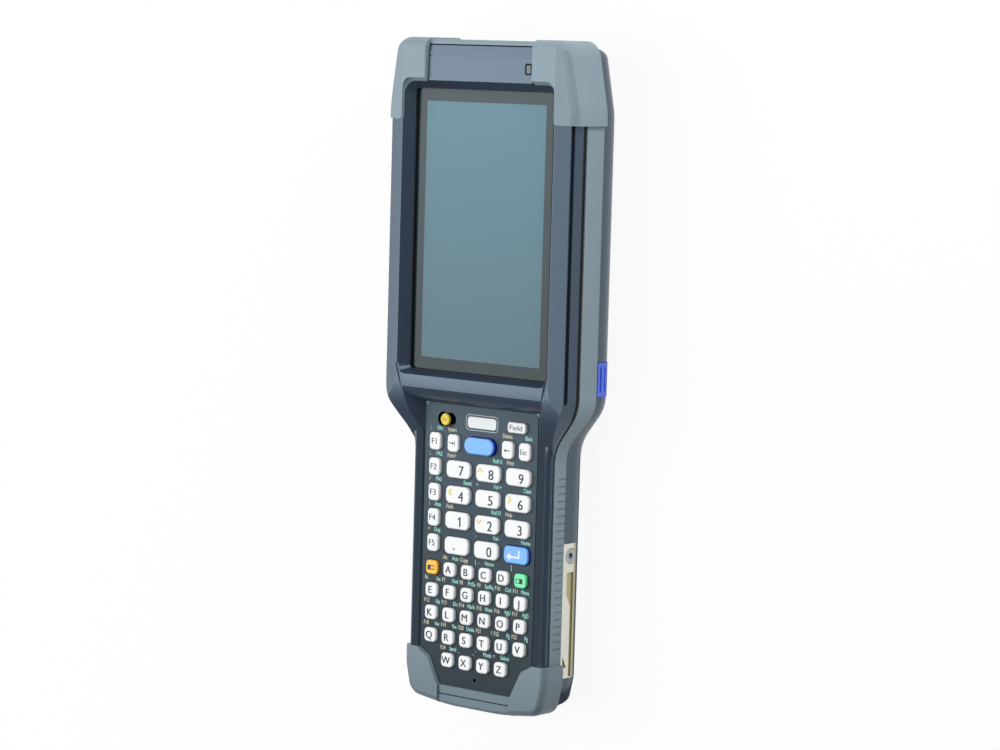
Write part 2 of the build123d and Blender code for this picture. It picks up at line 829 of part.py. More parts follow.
def make_bottom_bumper():
    """Rubber bumper over both lower corners, joined by a lower strip across the end of the grip."""
    top_z = grip_front_z + bumper_rise
    form = bumper_form(bumper_proud, rail_low_grip, top_z - foot_side_drop, top_z)
    middle = block(-foot_strip_x, foot_strip_x, -reach, foot_bumper_y, 0, reach)
    strip = bumper_form(foot_strip_proud, rail_low_grip, foot_strip_z - strip_side_drop, foot_strip_z)
    strip &= middle
    line_low = foot_line_y - strip_gap / 2
    strip -= block(
        -foot_strip_x, foot_strip_x, line_low, line_low + strip_gap, foot_strip_z - strip_gap_depth, reach
    )
    ears = (form & block(-reach, reach, -reach, foot_bumper_y, 0, reach)) - middle
    bumper = ears + strip
    bumper -= prism(plan(rail_seat_inset, 0), 0, rim_low_grip)
    bumper -= front_body() - foot_space()
    bumper -= rear_body()
    bumper -= prism(plan(seal_inset, 0), rail_high_grip, rim_low_grip)
    above_seat = block(-reach, reach, -reach, foot_bumper_y, foot_seat_z, reach)
    return bumper - (above_seat & prism(plan(0, 0), 0, reach) - foot_space())


def make_touch_glass():
    """Cover glass of the display."""
    outline = Pos(0, display_y) * RectangleRounded(glass_width, glass_length, glass_radius)
    return prism(outline, glass_z - glass_thickness, glass_z)


def make_lcd_module():
    """Display panel and backlight, between the glass and the mid frame."""
    outline = Pos(0, display_y) * Rectangle(lcd_width, lcd_length)
    module = prism(outline, mid_frame_z + mid_frame_thickness, glass_z - glass_thickness)
    return chamfer(module.edges().filter_by(Axis.Z), lcd_corner)


def make_mid_frame():
    """Stamped magnesium tray that carries the display and stiffens the head."""
    outline = plan(rail_seat_inset + wall + lip_gap + mid_frame_gap, 0)
    tray = prism(outline, mid_frame_z, mid_frame_z + mid_frame_thickness)
    half_length = glass_length / 2 + mid_frame_overhang
    tray &= block(-reach, reach, display_y - half_length, display_y + half_length, 0, reach)
    for place in screw_places():
        tray -= round_post(place, screw_radius + fit, 0, reach)
    for step in (-1, 0, 1):
        window = Pos(0, display_y + step * mid_frame_window_pitch) * RectangleRounded(*mid_frame_window)
        tray -= prism(window, 0, reach)
    return tray


def key_outline(size, radius):
    """Rounded outline of a key: round if it is as long as it is wide."""
    if size[0] == size[1]:
        return Circle(size[0] / 2)
    return RectangleRounded(*size, min(radius, size[1] / 2 - 0.05))


def key_hole_size(key):
    """Width and length of the panel's opening round a key."""
    if key["well"]:
        return power_well_size
    return (key["size"][0] + 2 * key_hole_gap, key["size"][1] + 2 * key_hole_gap)


def make_keypad_panel(keys):
    """Dark panel with a close hole for every key, a window seat and a microphone hole."""
    panel = prism(panel_plan(0, 0), panel_z - panel_thickness, panel_z)
    for key in keys:
        radius = reach if key["well"] else key["radius"] + key_hole_gap
        panel -= prism(Pos(*key["place"]) * key_outline(key_hole_size(key), radius), 0, reach)
    hole_size = (indicator_size[0] + fit, indicator_size[1] + fit)
    window_hole = RectangleRounded(*hole_size, indicator_radius + fit / 2)
    panel -= prism(Pos(*indicator_place) * window_hole, 0, reach)
    panel -= round_post((0, microphone_y), microphone_radius, 0, reach)
    return panel


def make_indicator_window():
    """Pale window above the scan key, flush with the panel, with a rim under it."""
    low_z = panel_z - panel_thickness
    lens = prism(Pos(*indicator_place) * RectangleRounded(*indicator_size, indicator_radius), low_z, panel_z)
    rim_size = (indicator_size[0] + 2 * indicator_rim, indicator_size[1] + 2 * indicator_rim)
    rim = Pos(*indicator_place) * RectangleRounded(*rim_size, indicator_radius)
    return lens + prism(rim, low_z - indicator_rim_thickness, low_z)


def make_key(key):
    """One key: a soft-edged cap through the panel, with a flange that the panel holds down."""
    flange_top = panel_z - panel_thickness - key_flange_gap
    cap = prism(key_outline(key["size"], key["radius"]), flange_top - tiny, panel_z + key["rise"])
    cap = fillet(cap.edges().group_by(Axis.Z)[-1], key_soft_edge)
    if key["well"]:
        inner, outer, depth = power_ring
        ring = Circle(outer) - Circle(inner)
        cap -= prism(ring, panel_z + key["rise"] - depth, reach)
    width, length = key_hole_size(key)
    foot = Rectangle(width + 2 * key_flange, length + 2 * key_flange)
    flange = prism(foot, flange_top - key_flange_thickness, flange_top)
    return Pos(*key["place"]) * (cap + flange)


def key_list():
    """Every key: its node, place, outline, rise above the panel and whether it stands in a well."""
    keys = []

    def add(node, x, y, size, radius=small_radius, rise=key_rise, well=False):
        key = {"node": node, "place": (x, y), "size": size, "radius": radius, "rise": rise, "well": well}
        keys.append(key)

    for i in range(function_keys):
        add(f"key_f{i + 1}", function_column_x, function_row_y - i * number_pitch_y, small_size)
    digits = [["7", "8", "9"], ["4", "5", "6"], ["1", "2", "3"], ["dot", "0", "enter"]]
    for row, names in enumerate(digits):
        for column, name in enumerate(names):
            x = number_column_x + column * number_pitch_x
            y = number_row_y - row * number_pitch_y
            add(f"key_{name}", x, y, number_size, wide_radius)
    add("key_tab", tab_x, function_row_y, small_size)
    add("key_back", back_x, function_row_y, small_size)
    add("key_escape", escape_x, function_row_y, small_size)
    add("key_scan", scan_x, function_row_y, scan_key_size, scan_key_size[1] / 2, scan_key_rise)
    add("key_field", field_x, status_row_y, field_key_size, field_radius)
    power_size = (power_key_diameter, power_key_diameter)
    add("key_power", power_x, status_row_y, power_size, well=True)
    middle = (letter_columns - 1) / 2
    add("key_orange", -middle * column_pitch, letter_row_y, letter_size)
    add("key_green", middle * column_pitch, letter_row_y, letter_size)
    rows = {"a_d": (1, 4), "e_j": (0, 6), "k_p": (0, 6), "q_v": (0, 6), "w_z": (1, 4)}
    for row, (name, (first, count)) in enumerate(rows.items()):
        for column in range(first, first + count):
            x = (column - middle) * column_pitch
            add(f"keys_{name}", x, letter_row_y - row * row_pitch, letter_size)
    return keys


def make_keypad_mat(keys):
    """Silicone mat with a raised pad under every key."""
    top = keypad_board_z() + board_thickness + mat_thickness
    mat = prism(panel_plan(panel_ledge + mat_margin, 0), top - mat_thickness, top)
    for key in keys:
        pad = Rectangle(min(key["size"][0], mat_pad_size), min(key["size"][1], mat_pad_size))
        mat += prism(Pos(*key["place"]) * pad, top - tiny, top + mat_pad_height)
    return mat


def make_keypad_board():
    """Circuit board under the mat, held between the front skirt and the posts below it."""
    low = keypad_board_z()
    board = prism(panel_plan(panel_ledge - board_margin, 0), low, low + board_thickness)
    for place in screw_places():
        radius = boss_radius if place[1] < battery_end_y else screw_radius
        board -= round_post(place, radius + running_gap, 0, reach)
    return board


def make_mainboard():
    """Main circuit board of the head with its shield cans."""
    size = (2 * mainboard_half_width, mainboard_length)
    top = mainboard_z + board_thickness
    board = prism(Pos(0, mainboard_y) * RectangleRounded(*size, mainboard_radius), mainboard_z, top)
    for x, y, width, length in shield_cans:
        can = Pos(x, y) * RectangleRounded(width, length, shield_radius)
        board += prism(can, top - tiny, top + shield_height)
    return board


def make_scan_engine():
    """Imager block behind the window in the scanning end."""
    half = engine_half_width
    body = block(-half, half, engine_low_y, engine_high_y, engine_low_z, engine_high_z)
    body = chamfer(body.edges().filter_by(Axis.Z), engine_corner)
    for x, radius, out in (engine_lens, engine_lamp):
        start = (x, engine_high_y - 1, engine_eye_z)
        body += tube(start, (x, engine_high_y + out, engine_eye_z), radius)
    return body


def make_scan_window():
    """Clear window whose outer face follows the rounded end of the head."""
    pane = block(
        seat_gap - window_half_width,
        window_half_width - seat_gap,
        top_y - window_depth,
        reach,
        window_low_z + seat_gap,
        window_high_z - seat_gap,
    )
    return pane & round_backed(shell_inset + window_sink)


def make_camera():
    """Rear camera barrel and its flash lens on one small carrier."""
    barrel = round_post(camera_place, camera_radius, back_sink, camera_barrel_high)
    barrel -= round_post(camera_place, camera_radius - camera_rim, 0, back_sink + camera_lens_sink)
    flash = round_post(flash_place, flash_radius, back_sink, camera_barrel_high)
    x, y = camera_place
    half = camera_radius + camera_carrier_margin
    low_y = flash_place[1] - flash_radius - camera_carrier_margin
    return barrel + flash + block(x - half, x + half, low_y, y + half, *camera_carrier_z)


def make_speaker():
    """Round loudspeaker against the grille."""
    rim_z = back_wall + speaker_rim_height
    rim = round_post(speaker_place, speaker_radius, back_wall, rim_z)
    magnet_radius = speaker_radius * speaker_magnet_share
    return rim + round_post(speaker_place, magnet_radius, rim_z - tiny, back_wall + speaker_height)


def make_battery_pack():
    """Battery that fills the back of the grip, its outer face following the rounded back."""
    pack = round_backed(shell_inset) & battery_space(0)
    contacts = block(
        -battery_contact_half_width,
        battery_contact_half_width,
        battery_top_y - battery_contact_length,
        reach,
        battery_thickness - battery_contact_depth,
        reach,
    )
    return pack - contacts


def make_battery_latch():
    """Sliding latch on the back, with a ribbed thumb pad, side flanges and a tongue."""
    y_low = latch_rest_y()
    y_high = y_low + latch_length
    half = latch_width / 2
    low_z = latch_pad_height + fit
    high_z = low_z + latch_flange_height
    body = block(-half, half, y_low, y_high, back_sink, high_z)
    wide = half + latch_flange - fit
    body += block(-wide, wide, y_low, y_high, low_z, high_z)
    tongue = latch_tongue_half_width
    body += block(-tongue, tongue, battery_top_y + running_gap, y_low + 1, low_z, high_z)
    rib_half = half - latch_rib_margin
    for i in range(latch_ribs):
        y = y_low + latch_rib_first + i * latch_rib_pitch
        rib_low = y - latch_rib_width / 2
        body -= block(-rib_half, rib_half, rib_low, rib_low + latch_rib_width, 0, latch_rib_depth)
    return body


def make_latch_spring():
    """Flat zigzag spring that pushes the latch back towards the battery."""
    y_low = latch_rest_y() + latch_length + seat_gap
    y_high = latch_rest_y() + latch_length + latch_travel + spring_room - seat_gap
    step = (y_high - y_low - spring_wire) / spring_turns
    half = spring_half_width
    z_low = latch_pad_height + 2 * fit
    z_high = z_low + spring_height
    spring = block(-half, half, y_low, y_low + spring_wire, z_low, z_high)
    for i in range(spring_turns):
        y = y_low + i * step
        end_x = half - spring_wire if i % 2 == 0 else -half
        spring += block(end_x, end_x + spring_wire, y, y + step + spring_wire, z_low, z_high)
        spring += block(-half, half, y + step, y + step + spring_wire, z_low, z_high)
    return spring


def make_scan_button(side):
    """Side scan button, fluted along its length, with a flange behind the wall."""
    flange_high = wall_inner_x() - 2 * seat_gap
    flange_low = flange_high - button_flange_thickness
    cap = button_block(0, flange_low + tiny, reach) & round_backed(shell_inset - button_proud)
    face_x = head_half_width - shell_inset + button_proud
    half = button_flute_length / 2
    middle_z = (button_low_z + button_high_z) / 2
    for offset in button_flute_offsets:
        z = middle_z + offset
        low_x = face_x - button_flute_depth
        cap -= block(low_x, reach, button_y - half, button_y + half, z, z + button_flute_width)
    button = cap + button_block(button_flange, flange_low, flange_high)
    return button if side > 0 else mirror(button, Plane.YZ)


def make_side_plate(side):
    """Bright plate let into the grip's side: screw hole, sunk window and a long groove."""
    plate = plate_block(0) & round_backed(shell_inset)
    face_x = grip_half_width - shell_inset
    bore_end = (face_x + 1, plate_screw_y, plate_screw_z)
    plate -= tube((0, plate_screw_y, plate_screw_z), bore_end, plate_screw_head + fit)
    floor_x = face_x - plate_relief
    low_y, high_y, low_z, high_z = plate_window
    plate -= block(floor_x, reach, low_y, high_y, low_z, high_z)
    groove_y, groove_low, groove_high = plate_groove
    plate -= block(floor_x, reach, plate_end_y + plate_rim, groove_y, groove_low, groove_high)
    link = Polyline(
        (low_y + plate_rim, low_z),
        (low_y + plate_rim, high_z),
        (groove_y - plate_link_slant, groove_high),
        (groove_y - plate_link_slant, groove_low),
        close=True,
    )
    plate -= Pos(floor_x, 0, 0) * extrude(make_face(Plane.YZ * link), reach)
    notch_high, notch_low, notch_z, top_z = plate_notch
    notch = Polyline((notch_high, top_z), (notch_low, top_z), (notch_low, notch_z), close=True)
    plate -= Pos(floor_x, 0, 0) * extrude(make_face(Plane.YZ * notch), reach)
    return plate if side > 0 else mirror(plate, Plane.YZ)


def make_side_screws():
    """One flat-headed screw through each side plate."""
    face_x = grip_half_width - shell_inset - seat_gap
    seat_x = face_x - plate_thickness

    def along(start_x, end_x, radius):
        return tube((start_x, plate_screw_y, plate_screw_z), (end_x, plate_screw_y, plate_screw_z), radius)

    screw = along(seat_x, face_x, plate_screw_head)
    screw += along(seat_x - plate_screw_length, seat_x + tiny, plate_screw_radius)
    socket = extrude(Plane.YZ * RegularPolygon(plate_screw_socket, 6), reach)
    screw -= Pos(face_x - plate_screw_socket_depth, plate_screw_y, plate_screw_z) * socket
    return mirrored(screw)


def make_housing_screws():
    """Screws from the back that clamp the two shells together."""
    head = prism(Circle(screw_head_radius), screw_head_sink, screw_head_sink + screw_head_height)
    shank = prism(Circle(screw_radius), screw_head_sink, screw_tip_z)
    socket = prism(RegularPolygon(screw_socket_radius, 6), 0, screw_head_sink + screw_socket_depth)
    screw = head + shank - socket
    return Part() + [Pos(x, y, 0) * screw for x, y in screw_places()]


def make_dock_connector():
    """Row of charging contacts in the end of the grip."""
    body = block(
        seat_gap - dock_half_width,
        dock_half_width - seat_gap,
        -reach,
        bottom_y + dock_depth - seat_gap,
        dock_low_z + seat_gap,
        dock_high_z - seat_gap,
    )
    body &= round_backed(shell_inset + dock_sink)
    width, height = dock_slot
    slot_z = (dock_low_z + dock_high_z - height) / 2
    slot = block(-width / 2, width / 2, -reach, bottom_y + dock_slot_depth, slot_z, slot_z + height)
    for i in range(dock_contacts):
        body -= Pos((i - (dock_contacts - 1) / 2) * dock_pitch, 0, 0) * slot
    return body


def make_status_led_lens():
    """Small light pipe in the front plate."""
    lens = Pos(*led_place) * RectangleRounded(*led_size, led_radius)
    return prism(lens, plate_z - led_depth, plate_z)


def save(node, shape):
    """Write one sub-part to its own file."""
    export_step(shape, f"parts/{node}.step")


def main():
    """Build every piece of the terminal."""
    keys = key_list()
    save("front_housing", make_front_housing())
    save("rear_housing", make_rear_housing())
    save("perimeter_seal", make_perimeter_seal())
    save("top_bumper", make_top_bumper())
    save("bottom_bumper", make_bottom_bumper())
    save("side_rail_right", make_side_rail(1))
    save("side_rail_left", make_side_rail(-1))
    save("touch_glass", make_touch_glass())
    save("lcd_module", make_lcd_module())
    save("mid_frame", make_mid_frame())
    save("keypad_panel", make_keypad_panel(keys))
    save("keypad_mat", make_keypad_mat(keys))
    save("keypad_board", make_keypad_board())
    save("mainboard", make_mainboard())
    save("scan_engine", make_scan_engine())
    save("scan_window", make_scan_window())
    save("camera", make_camera())
    save("speaker", make_speaker())
    save("battery_pack", make_battery_pack())
    save("battery_latch", make_battery_latch())
    save("latch_spring", make_latch_spring())
    save("scan_button_right", make_scan_button(1))
    save("scan_button_left", make_scan_button(-1))
    save("side_plate_right", make_side_plate(1))
    save("side_plate_left", make_side_plate(-1))
    save("side_screws", make_side_screws())
    save("housing_screws", make_housing_screws())
    save("dock_connector", make_dock_connector())
    save("status_led_lens", make_status_led_lens())
    save("indicator_window", make_indicator_window())
    for node in dict.fromkeys(key["node"] for key in keys):
        save(node, Part() + [make_key(key) for key in keys if key["node"] == node])


main()
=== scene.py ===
"""Looks of a portable barcode data terminal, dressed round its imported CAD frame.

The terminal lies on its back: +X is to its right, +Y runs to its scanning end and +Z is up out
of the screen. Sizes and places are written in millimetres, and MM turns them to metres.
"""

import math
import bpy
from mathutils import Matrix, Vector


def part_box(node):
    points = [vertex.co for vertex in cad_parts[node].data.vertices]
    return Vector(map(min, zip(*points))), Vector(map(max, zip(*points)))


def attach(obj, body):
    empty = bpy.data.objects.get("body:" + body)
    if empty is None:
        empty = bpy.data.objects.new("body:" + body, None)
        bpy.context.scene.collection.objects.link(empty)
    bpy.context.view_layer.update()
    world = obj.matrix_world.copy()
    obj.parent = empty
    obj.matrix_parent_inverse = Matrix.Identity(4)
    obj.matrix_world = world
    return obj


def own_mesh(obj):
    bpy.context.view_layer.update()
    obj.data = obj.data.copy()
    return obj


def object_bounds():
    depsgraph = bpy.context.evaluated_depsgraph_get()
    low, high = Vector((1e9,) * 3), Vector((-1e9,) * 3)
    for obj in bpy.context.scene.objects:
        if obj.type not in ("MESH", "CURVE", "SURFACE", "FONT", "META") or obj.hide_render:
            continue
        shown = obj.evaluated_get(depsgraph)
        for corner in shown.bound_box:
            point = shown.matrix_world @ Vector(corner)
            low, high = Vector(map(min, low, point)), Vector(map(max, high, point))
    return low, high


bl_info = {
    "name": "Barcode Terminal",
    "version": (1, 0, 0),
    "blender": (4, 5, 0),
    "location": "3D View > Sidebar > Terminal",
    "description": "Builds the visible finish of a portable barcode data terminal",
    "category": "Object",
}

import bpy
from mathutils import Matrix, Vector

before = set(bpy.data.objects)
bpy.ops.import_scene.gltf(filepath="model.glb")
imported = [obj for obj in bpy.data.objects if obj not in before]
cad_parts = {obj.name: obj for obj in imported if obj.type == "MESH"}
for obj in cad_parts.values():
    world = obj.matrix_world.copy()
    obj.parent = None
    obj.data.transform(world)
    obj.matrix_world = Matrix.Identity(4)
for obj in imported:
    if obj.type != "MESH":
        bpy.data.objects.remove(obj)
CAD_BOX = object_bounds()
MM = 0.001
HOME = "terminal"  # the body that carries all that doesn't move by itself

# ---- housing, glass and status light, in millimetres ----
LEDGE_END = -19.5  # the ledges beside the keys start here and run down the grip
LEDGE_EDGE = 28.9  # how far out they reach
LIT_HALF = (26.2, 43.6)  # half width and half length of the display's lit area
PRINT_EDGE = 0.12  # softness of the edge of the ink under the glass
GLASS_ROOM = 0.3  # the wall round the glass is this much wider and longer
GLASS_CORNER = 1.6
# the black band round the glass is painted shade on the wall there
SHADE_BAND_LIFT = 0.02
SHADE_BAND_HEIGHT = 0.98
RIM_CORNER = 0.7
RIM_SINK = 0.05
RIM_HEIGHT = 0.12

# ---- keys and their print, in millimetres ----
PANEL_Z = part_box("keypad_panel")[1].z / MM
FLANGE = 0.75  # the keys' hidden flanges reach this far out
LETTER_PITCH = 7.91  # from one letter key to the next across a row
MIDDLE_COLUMN = 2.5  # columns count from 0, and the middle is here
# letters of each row, and the column that it starts in
LETTER_ROWS = {
    "keys_a_d": ("ABCD", 1),
    "keys_e_j": ("EFGHIJ", 0),
    "keys_k_p": ("KLMNOP", 0),
    "keys_q_v": ("QRSTUV", 0),
    "keys_w_z": ("WXYZ", 1),
}
CAP_HEIGHT = 0.682  # height of a capital in the built-in letters, at size 1
INK_THICKNESS = 0.02
INK_SINK = 0.005  # print starts this far inside what it is printed on
LIFT = 0.003  # step between marks that cross, so no faces share a plane
MERGE = 0.001  # points nearer than this are one

# faces of the lettering: how wide it is drawn, and by how much a second copy thickens it
LETTER_FACE = {"width": 1.02, "weight": 0.17}
DIGIT_FACE = {"width": 1.0, "weight": 0.16}
FUNCTION_FACE = {"width": 1.05, "weight": 0.08}
ESCAPE_FACE = {"width": 0.95, "weight": 0.04}
FIELD_FACE = {"width": 1.2, "weight": 0.05}
PANEL_FACE = {"width": 0.78, "weight": 0.05}

# where print stands, measured from the key's middle
LETTER_RIGHT = -0.35
FUNCTION_RIGHT = -0.25
DIGIT_RIGHT = 1.5
DIGIT_UP = -0.3
FLAG = (-0.4, -0.45, 1.25, 0.45, 42)  # stroke at the top of the 1: place, size and turn
ARROW_PLACE = (-3.3, 0.9)
ARROW_SIZE = (2.3, 1.3, 0.75)  # width, length and thickness of its strokes
ARROW_TURNS = {8: 0, 4: 90, 6: 270, 2: 180}
# word, place, height and face
KEY_TEXTS = {
    "key_escape": ("Esc", -0.3, -0.9, 1.7, ESCAPE_FACE),
    "key_field": ("Field", -0.2, -0.85, 1.75, FIELD_FACE),
}

# symbols: bars by place and size, and arrow heads by place, width, length and turn
KEY_SYMBOLS = {
    "key_dot": [("bar", -0.95, -1.1, 0.6, 0.6)],
    "key_tab": [
        ("bar", -0.75, 0, 2.0, 0.3),
        ("head", 0.1, 0, 1.1, 0.8, 270),
        ("bar", 0.85, 0, 0.28, 1.5),
    ],
    "key_back": [("bar", 0.3, -0.2, 1.9, 0.3), ("head", -0.85, -0.2, 1.2, 0.95, 90)],
    "key_enter": [
        ("bar", -0.65, -0.7, 3.9, 0.7),
        ("bar", 1.45, 0.3, 0.7, 2.7),
        ("head", -2.9, -0.7, 2.7, 1.8, 90),
    ],
    "key_orange": [
        ("bar", -1.05, -0.1, 1.4, 1.7),
        ("bar", 0.45, 0.55, 1.5, 0.26),
        ("bar", 0.45, -0.75, 1.5, 0.26),
        ("bar", 1.1, -0.1, 0.26, 1.4),
    ],
    "key_green": [
        ("bar", 0.45, -0.1, 1.4, 1.7),
        ("bar", -1.05, 0.55, 1.5, 0.26),
        ("bar", -1.05, -0.75, 1.5, 0.26),
        ("bar", -1.7, -0.1, 0.26, 1.4),
    ],
}

# words on the panel above the keys, amber then teal; an empty word prints nothing
LETTER_WORDS = {
    "keys_a_d": (("Alt", "Attn"), ("Copy", "["), ("-", "Home"), ("", "]")),
    "keys_e_j": (
        ("F6", "Ins"), ("F7", "Find"), ("F8", "PrtSc"), ("F9", "SysRq"), ("F10", "Ctrl"), ("F11", "Menu")
    ),
    "keys_k_p": (
        ("F12", "Up"), ("F13", "Dn"), ("F14", "Mark"), ("F15", "Next"), ("F16", "PgU"), ("F17", "PgD")
    ),
    "keys_q_v": (("F18", "Vw"), ("F19", "Vw"), ("F20", "Undo"), ("F21", "?"), ("F22", "Pg"), ("F23", "Pg")),
    "keys_w_z": (("F24", "Send"), ("_", ","), ("'", "Mode"), ("=", "Select")),
}
KEY_WORDS = {
    "key_f1": (":", "PA1"),
    "key_f2": (";", "PA2"),
    "key_f3": ("/", "PA3"),
    "key_f4": ("\\", "Attn"),
    "key_f5": ("=", "Dup"),
    "key_tab": ("Insert", ""),
    "key_back": ("Delete", ""),
    "key_escape": ("", "Back"),
    "key_7": ("Field+", ""),
    "key_8": ("", "Roll U"),
    "key_9": ("Print", ""),
    "key_4": ("", "Reset"),
    "key_5": ("+", "Vol +"),
    "key_6": ("", "Clear"),
    "key_1": ("Field-", ""),
    "key_2": ("", "Roll D"),
    "key_3": ("Help", ""),
    "key_0": ("-", "Vol -"),
    "key_enter": ("", "Home"),
}
WORD_LIFT = 0.8  # words stand this far above a key's upper edge
WORD_OUT = 0.4  # an amber word starts this far left of its key
LETTER_REACH = (-3.75, 3.25)  # where the two words over a letter key start and end
WINDOW_RING = (14.4, 5.5)  # size of the line round the silver window
WINDOW_RING_RADIUS = 1.5
RING_CORNERS = 6

# ---- battery latch, charging contacts and rear camera, in millimetres ----
CONTACTS = 6
CONTACT_PITCH = 2.6
CONTACT_Z = 6.2
CONTACT_Y = -111.35
BLADE_SIZE = (0.8, 0.9, 1.2)
BLADE_EDGE = 0.18
REAR_CAMERA = (21.5, 99.0)
REAR_FLASH = (21.5, 90.5)
LENS_RADIUS = 2.35
LENS_Z = 1.05
LENS_STEPS = ((0.25, 0.16), (0.45, 0.14), (0.6, 0.08), (0.5, 0.03))  # each step inwards, and its drop
LENS_WALL = 0.1

# ---- stage, in metres ----
KEY_LAMP_PLACE = (-0.80, 0.07, 1.0)
KEY_LAMP_SIZE = (1.0, 1.4)  # along world Y, and across it
FILL_LAMP_PLACE = (0.38, 0.42, 0.20)
FILL_LAMP_SIZE = (0.35, 0.35)
FLOOR_GAP = 0.0002  # the floor lies this far under the terminal
FLOOR_WHITE = 0.92  # share of plain white in the floor
CAMERA_PLACE = Vector((0.72738, 0.11044, 0.87882))
CAMERA_RIGHT = Vector((0.76308, 0.02753, -0.64572))
CAMERA_UP = Vector((-0.08355, 0.99491, -0.05631))
CAMERA_LENS = 120.23  # this and the sensor are in millimetres
SENSOR_WIDTH = 36.0

WHITE = (1.0, 1.0, 1.0, 1.0)
SHEEN_TINT = (0.62, 0.84, 1.0, 1.0)  # cool cast of the sheen on the slate-blue plastics


def linear(code):
    """Linear RGBA of an sRGB hex colour."""
    shares = [int(code[i : i + 2], 16) / 255 for i in (1, 3, 5)]
    return tuple(s / 12.92 if s <= 0.04045 else ((s + 0.055) / 1.055) ** 2.4 for s in shares) + (1.0,)


def colour(name, code, description):
    """Colour property whose default is an sRGB hex colour."""
    return bpy.props.FloatVectorProperty(
        name=name, description=description, subtype="COLOR", size=4, min=0.0, max=1.0, default=linear(code)
    )


def length(name, millimetres, description):
    """Length property with its default in millimetres."""
    return bpy.props.FloatProperty(
        name=name, description=description, default=millimetres * MM, unit="LENGTH", precision=5
    )


def amount(name, value, description, unit="NONE"):
    """Number property in Blender's own unit."""
    return bpy.props.FloatProperty(name=name, description=description, default=value, unit=unit)


class TerminalColours(bpy.types.PropertyGroup):
    """Colours of the terminal's mouldings, keys and print."""

    housing: colour("Front housing", "#2F3A4C", "Slate blue of the front moulding")
    rear: colour("Rear housing", "#35414D", "Darker slate of the rear moulding")
    rubber: colour("Rubber", "#84969F", "Grey of the bumpers and side rails")
    panel: colour("Keypad panel", "#2D363D", "Dark film under the keys")
    white_key: colour("White keys", "#F3F5F7", "Letter and number keys")
    # The side colours of the keys below are painted shade, darker than the keys' tops.
    white_side: colour("White key sides", "#C3C7CA", "Sides of the white keys below their rounded tops")
    blue: colour("Blue tops", "#72B8FC", "Top of the scan and enter keys")
    blue_side: colour("Blue sides", "#0C1FC4", "Dyed body of the blue keys")
    blue_button: colour("Side buttons", "#5478F0", "Scan buttons on the two sides")
    yellow: colour("Power key", "#E3CC42", "Yellow of the power key")
    orange: colour("Orange key", "#FFC53D", "Top of the orange shift key")
    orange_side: colour("Orange key sides", "#C06608", "Sides of the orange shift key")
    green: colour("Green key", "#7BF2B2", "Top of the green shift key")
    green_side: colour("Green key sides", "#1FA35C", "Sides of the green shift key")
    screen: colour("Screen", "#4B707C", "Switched-off display behind the glass")
    border: colour("Glass border", "#16343A", "Ink printed under the edge of the glass")
    plate: colour("Side plate", "#E8E8DC", "Pale metallic paint of the side plates")
    # Painted shade: the sunk areas of the side plates are painted a darker olive.
    plate_sunk: colour("Side plate grooves", "#B9B288", "Olive paint in the sunk areas of the side plates")
    print_dark: colour("Key print", "#3A3F45", "Legends on the pale keys")
    print_amber: colour("Amber print", "#DEDCBE", "First legends on the keypad panel")
    print_teal: colour("Teal print", "#A9F0DF", "Second legends on the keypad panel")
    print_arrow: colour("Arrow print", "#EFE08A", "Arrows on the number keys")


class TerminalSizes(bpy.types.PropertyGroup):
    """Sizes of the print, of the thin trims and of the black band of painted shade round the glass."""

    digit_height: length("Digit height", 3.3, "Height of the digits on the number keys")
    letter_height: length("Letter height", 2.45, "Height of the letters on the letter keys")
    function_height: length("F height", 2.0, "Height of the F numbers on the function keys")
    small_height: length("Panel print height", 1.4, "Height of the legends on the keypad panel")
    # The black band round the display is painted shade on the wall round the glass.
    gasket: length("Gasket", 0.22, "How far the display gasket stands in from the wall round the glass")
    ring_width: length("Ring width", 0.3, "Width of the line printed round the silver window")
    light_rim: length("Status light rim", 0.55, "Width of the black rim round the status light")


class TerminalStage(bpy.types.PropertyGroup):
    """Sizes and light of the stage."""

    key_power: amount("Key light", 16.6, "Power of the main lamp", "POWER")
    fill_power: amount("Fill light", 1.9, "Power of the side lamp", "POWER")
    world_level: amount("World", 0.22, "Level of the even light from all round")
    floor_size: amount("Floor", 6.0, "Width of the floor", "LENGTH")


# ---- materials, with every size in millimetres ----


def add_node(tree, kind, settings=None, links=None):
    """Add a shader node, give its sockets and settings their values, and link its inputs."""
    node = tree.nodes.new("ShaderNode" + kind)
    for name, value in (settings or {}).items():
        if isinstance(name, int) or name in node.inputs:
            node.inputs[name].default_value = value
        else:
            setattr(node, name, value)
    for name, source in (links or {}).items():
        tree.links.new(source, node.inputs[name])
    return node


def start_material(name, **sockets):
    """New material with one Principled shader; gives the material, its tree and the shader."""
    material = bpy.data.materials.new(name)
    material.use_nodes = True
    tree = material.node_tree
    shader = tree.nodes["Principled BSDF"]
    for socket, value in sockets.items():
        shader.inputs[socket.replace("_", " ")].default_value = value
    return material, tree, shader


def place(tree):
    """Object coordinates, which are metres in the terminal's own frame."""
    return add_node(tree, "TexCoord").outputs["Object"]


def noise(tree, size, detail=3.0):
    """Noise with features about size apart."""
    settings = {"Scale": 1 / (size * MM), "Detail": detail, "Roughness": 0.6}
    return add_node(tree, "TexNoise", settings, {"Vector": place(tree)}).outputs["Fac"]


def grain(tree, shader, size, depth, roughness, spread=0.05):
    """Moulded or sprayed grain: bumps size apart and depth deep, with roughness that follows them."""
    height = noise(tree, size)
    bump = add_node(tree, "Bump", {"Strength": 1.0, "Distance": depth * MM}, {"Height": height})
    ends = {"To Min": roughness - spread, "To Max": roughness + spread}
    ranged = add_node(tree, "MapRange", ends, {"Value": height})
    tree.links.new(bump.outputs["Normal"], shader.inputs["Normal"])
    tree.links.new(ranged.outputs["Result"], shader.inputs["Roughness"])
    return ranged.outputs["Result"]


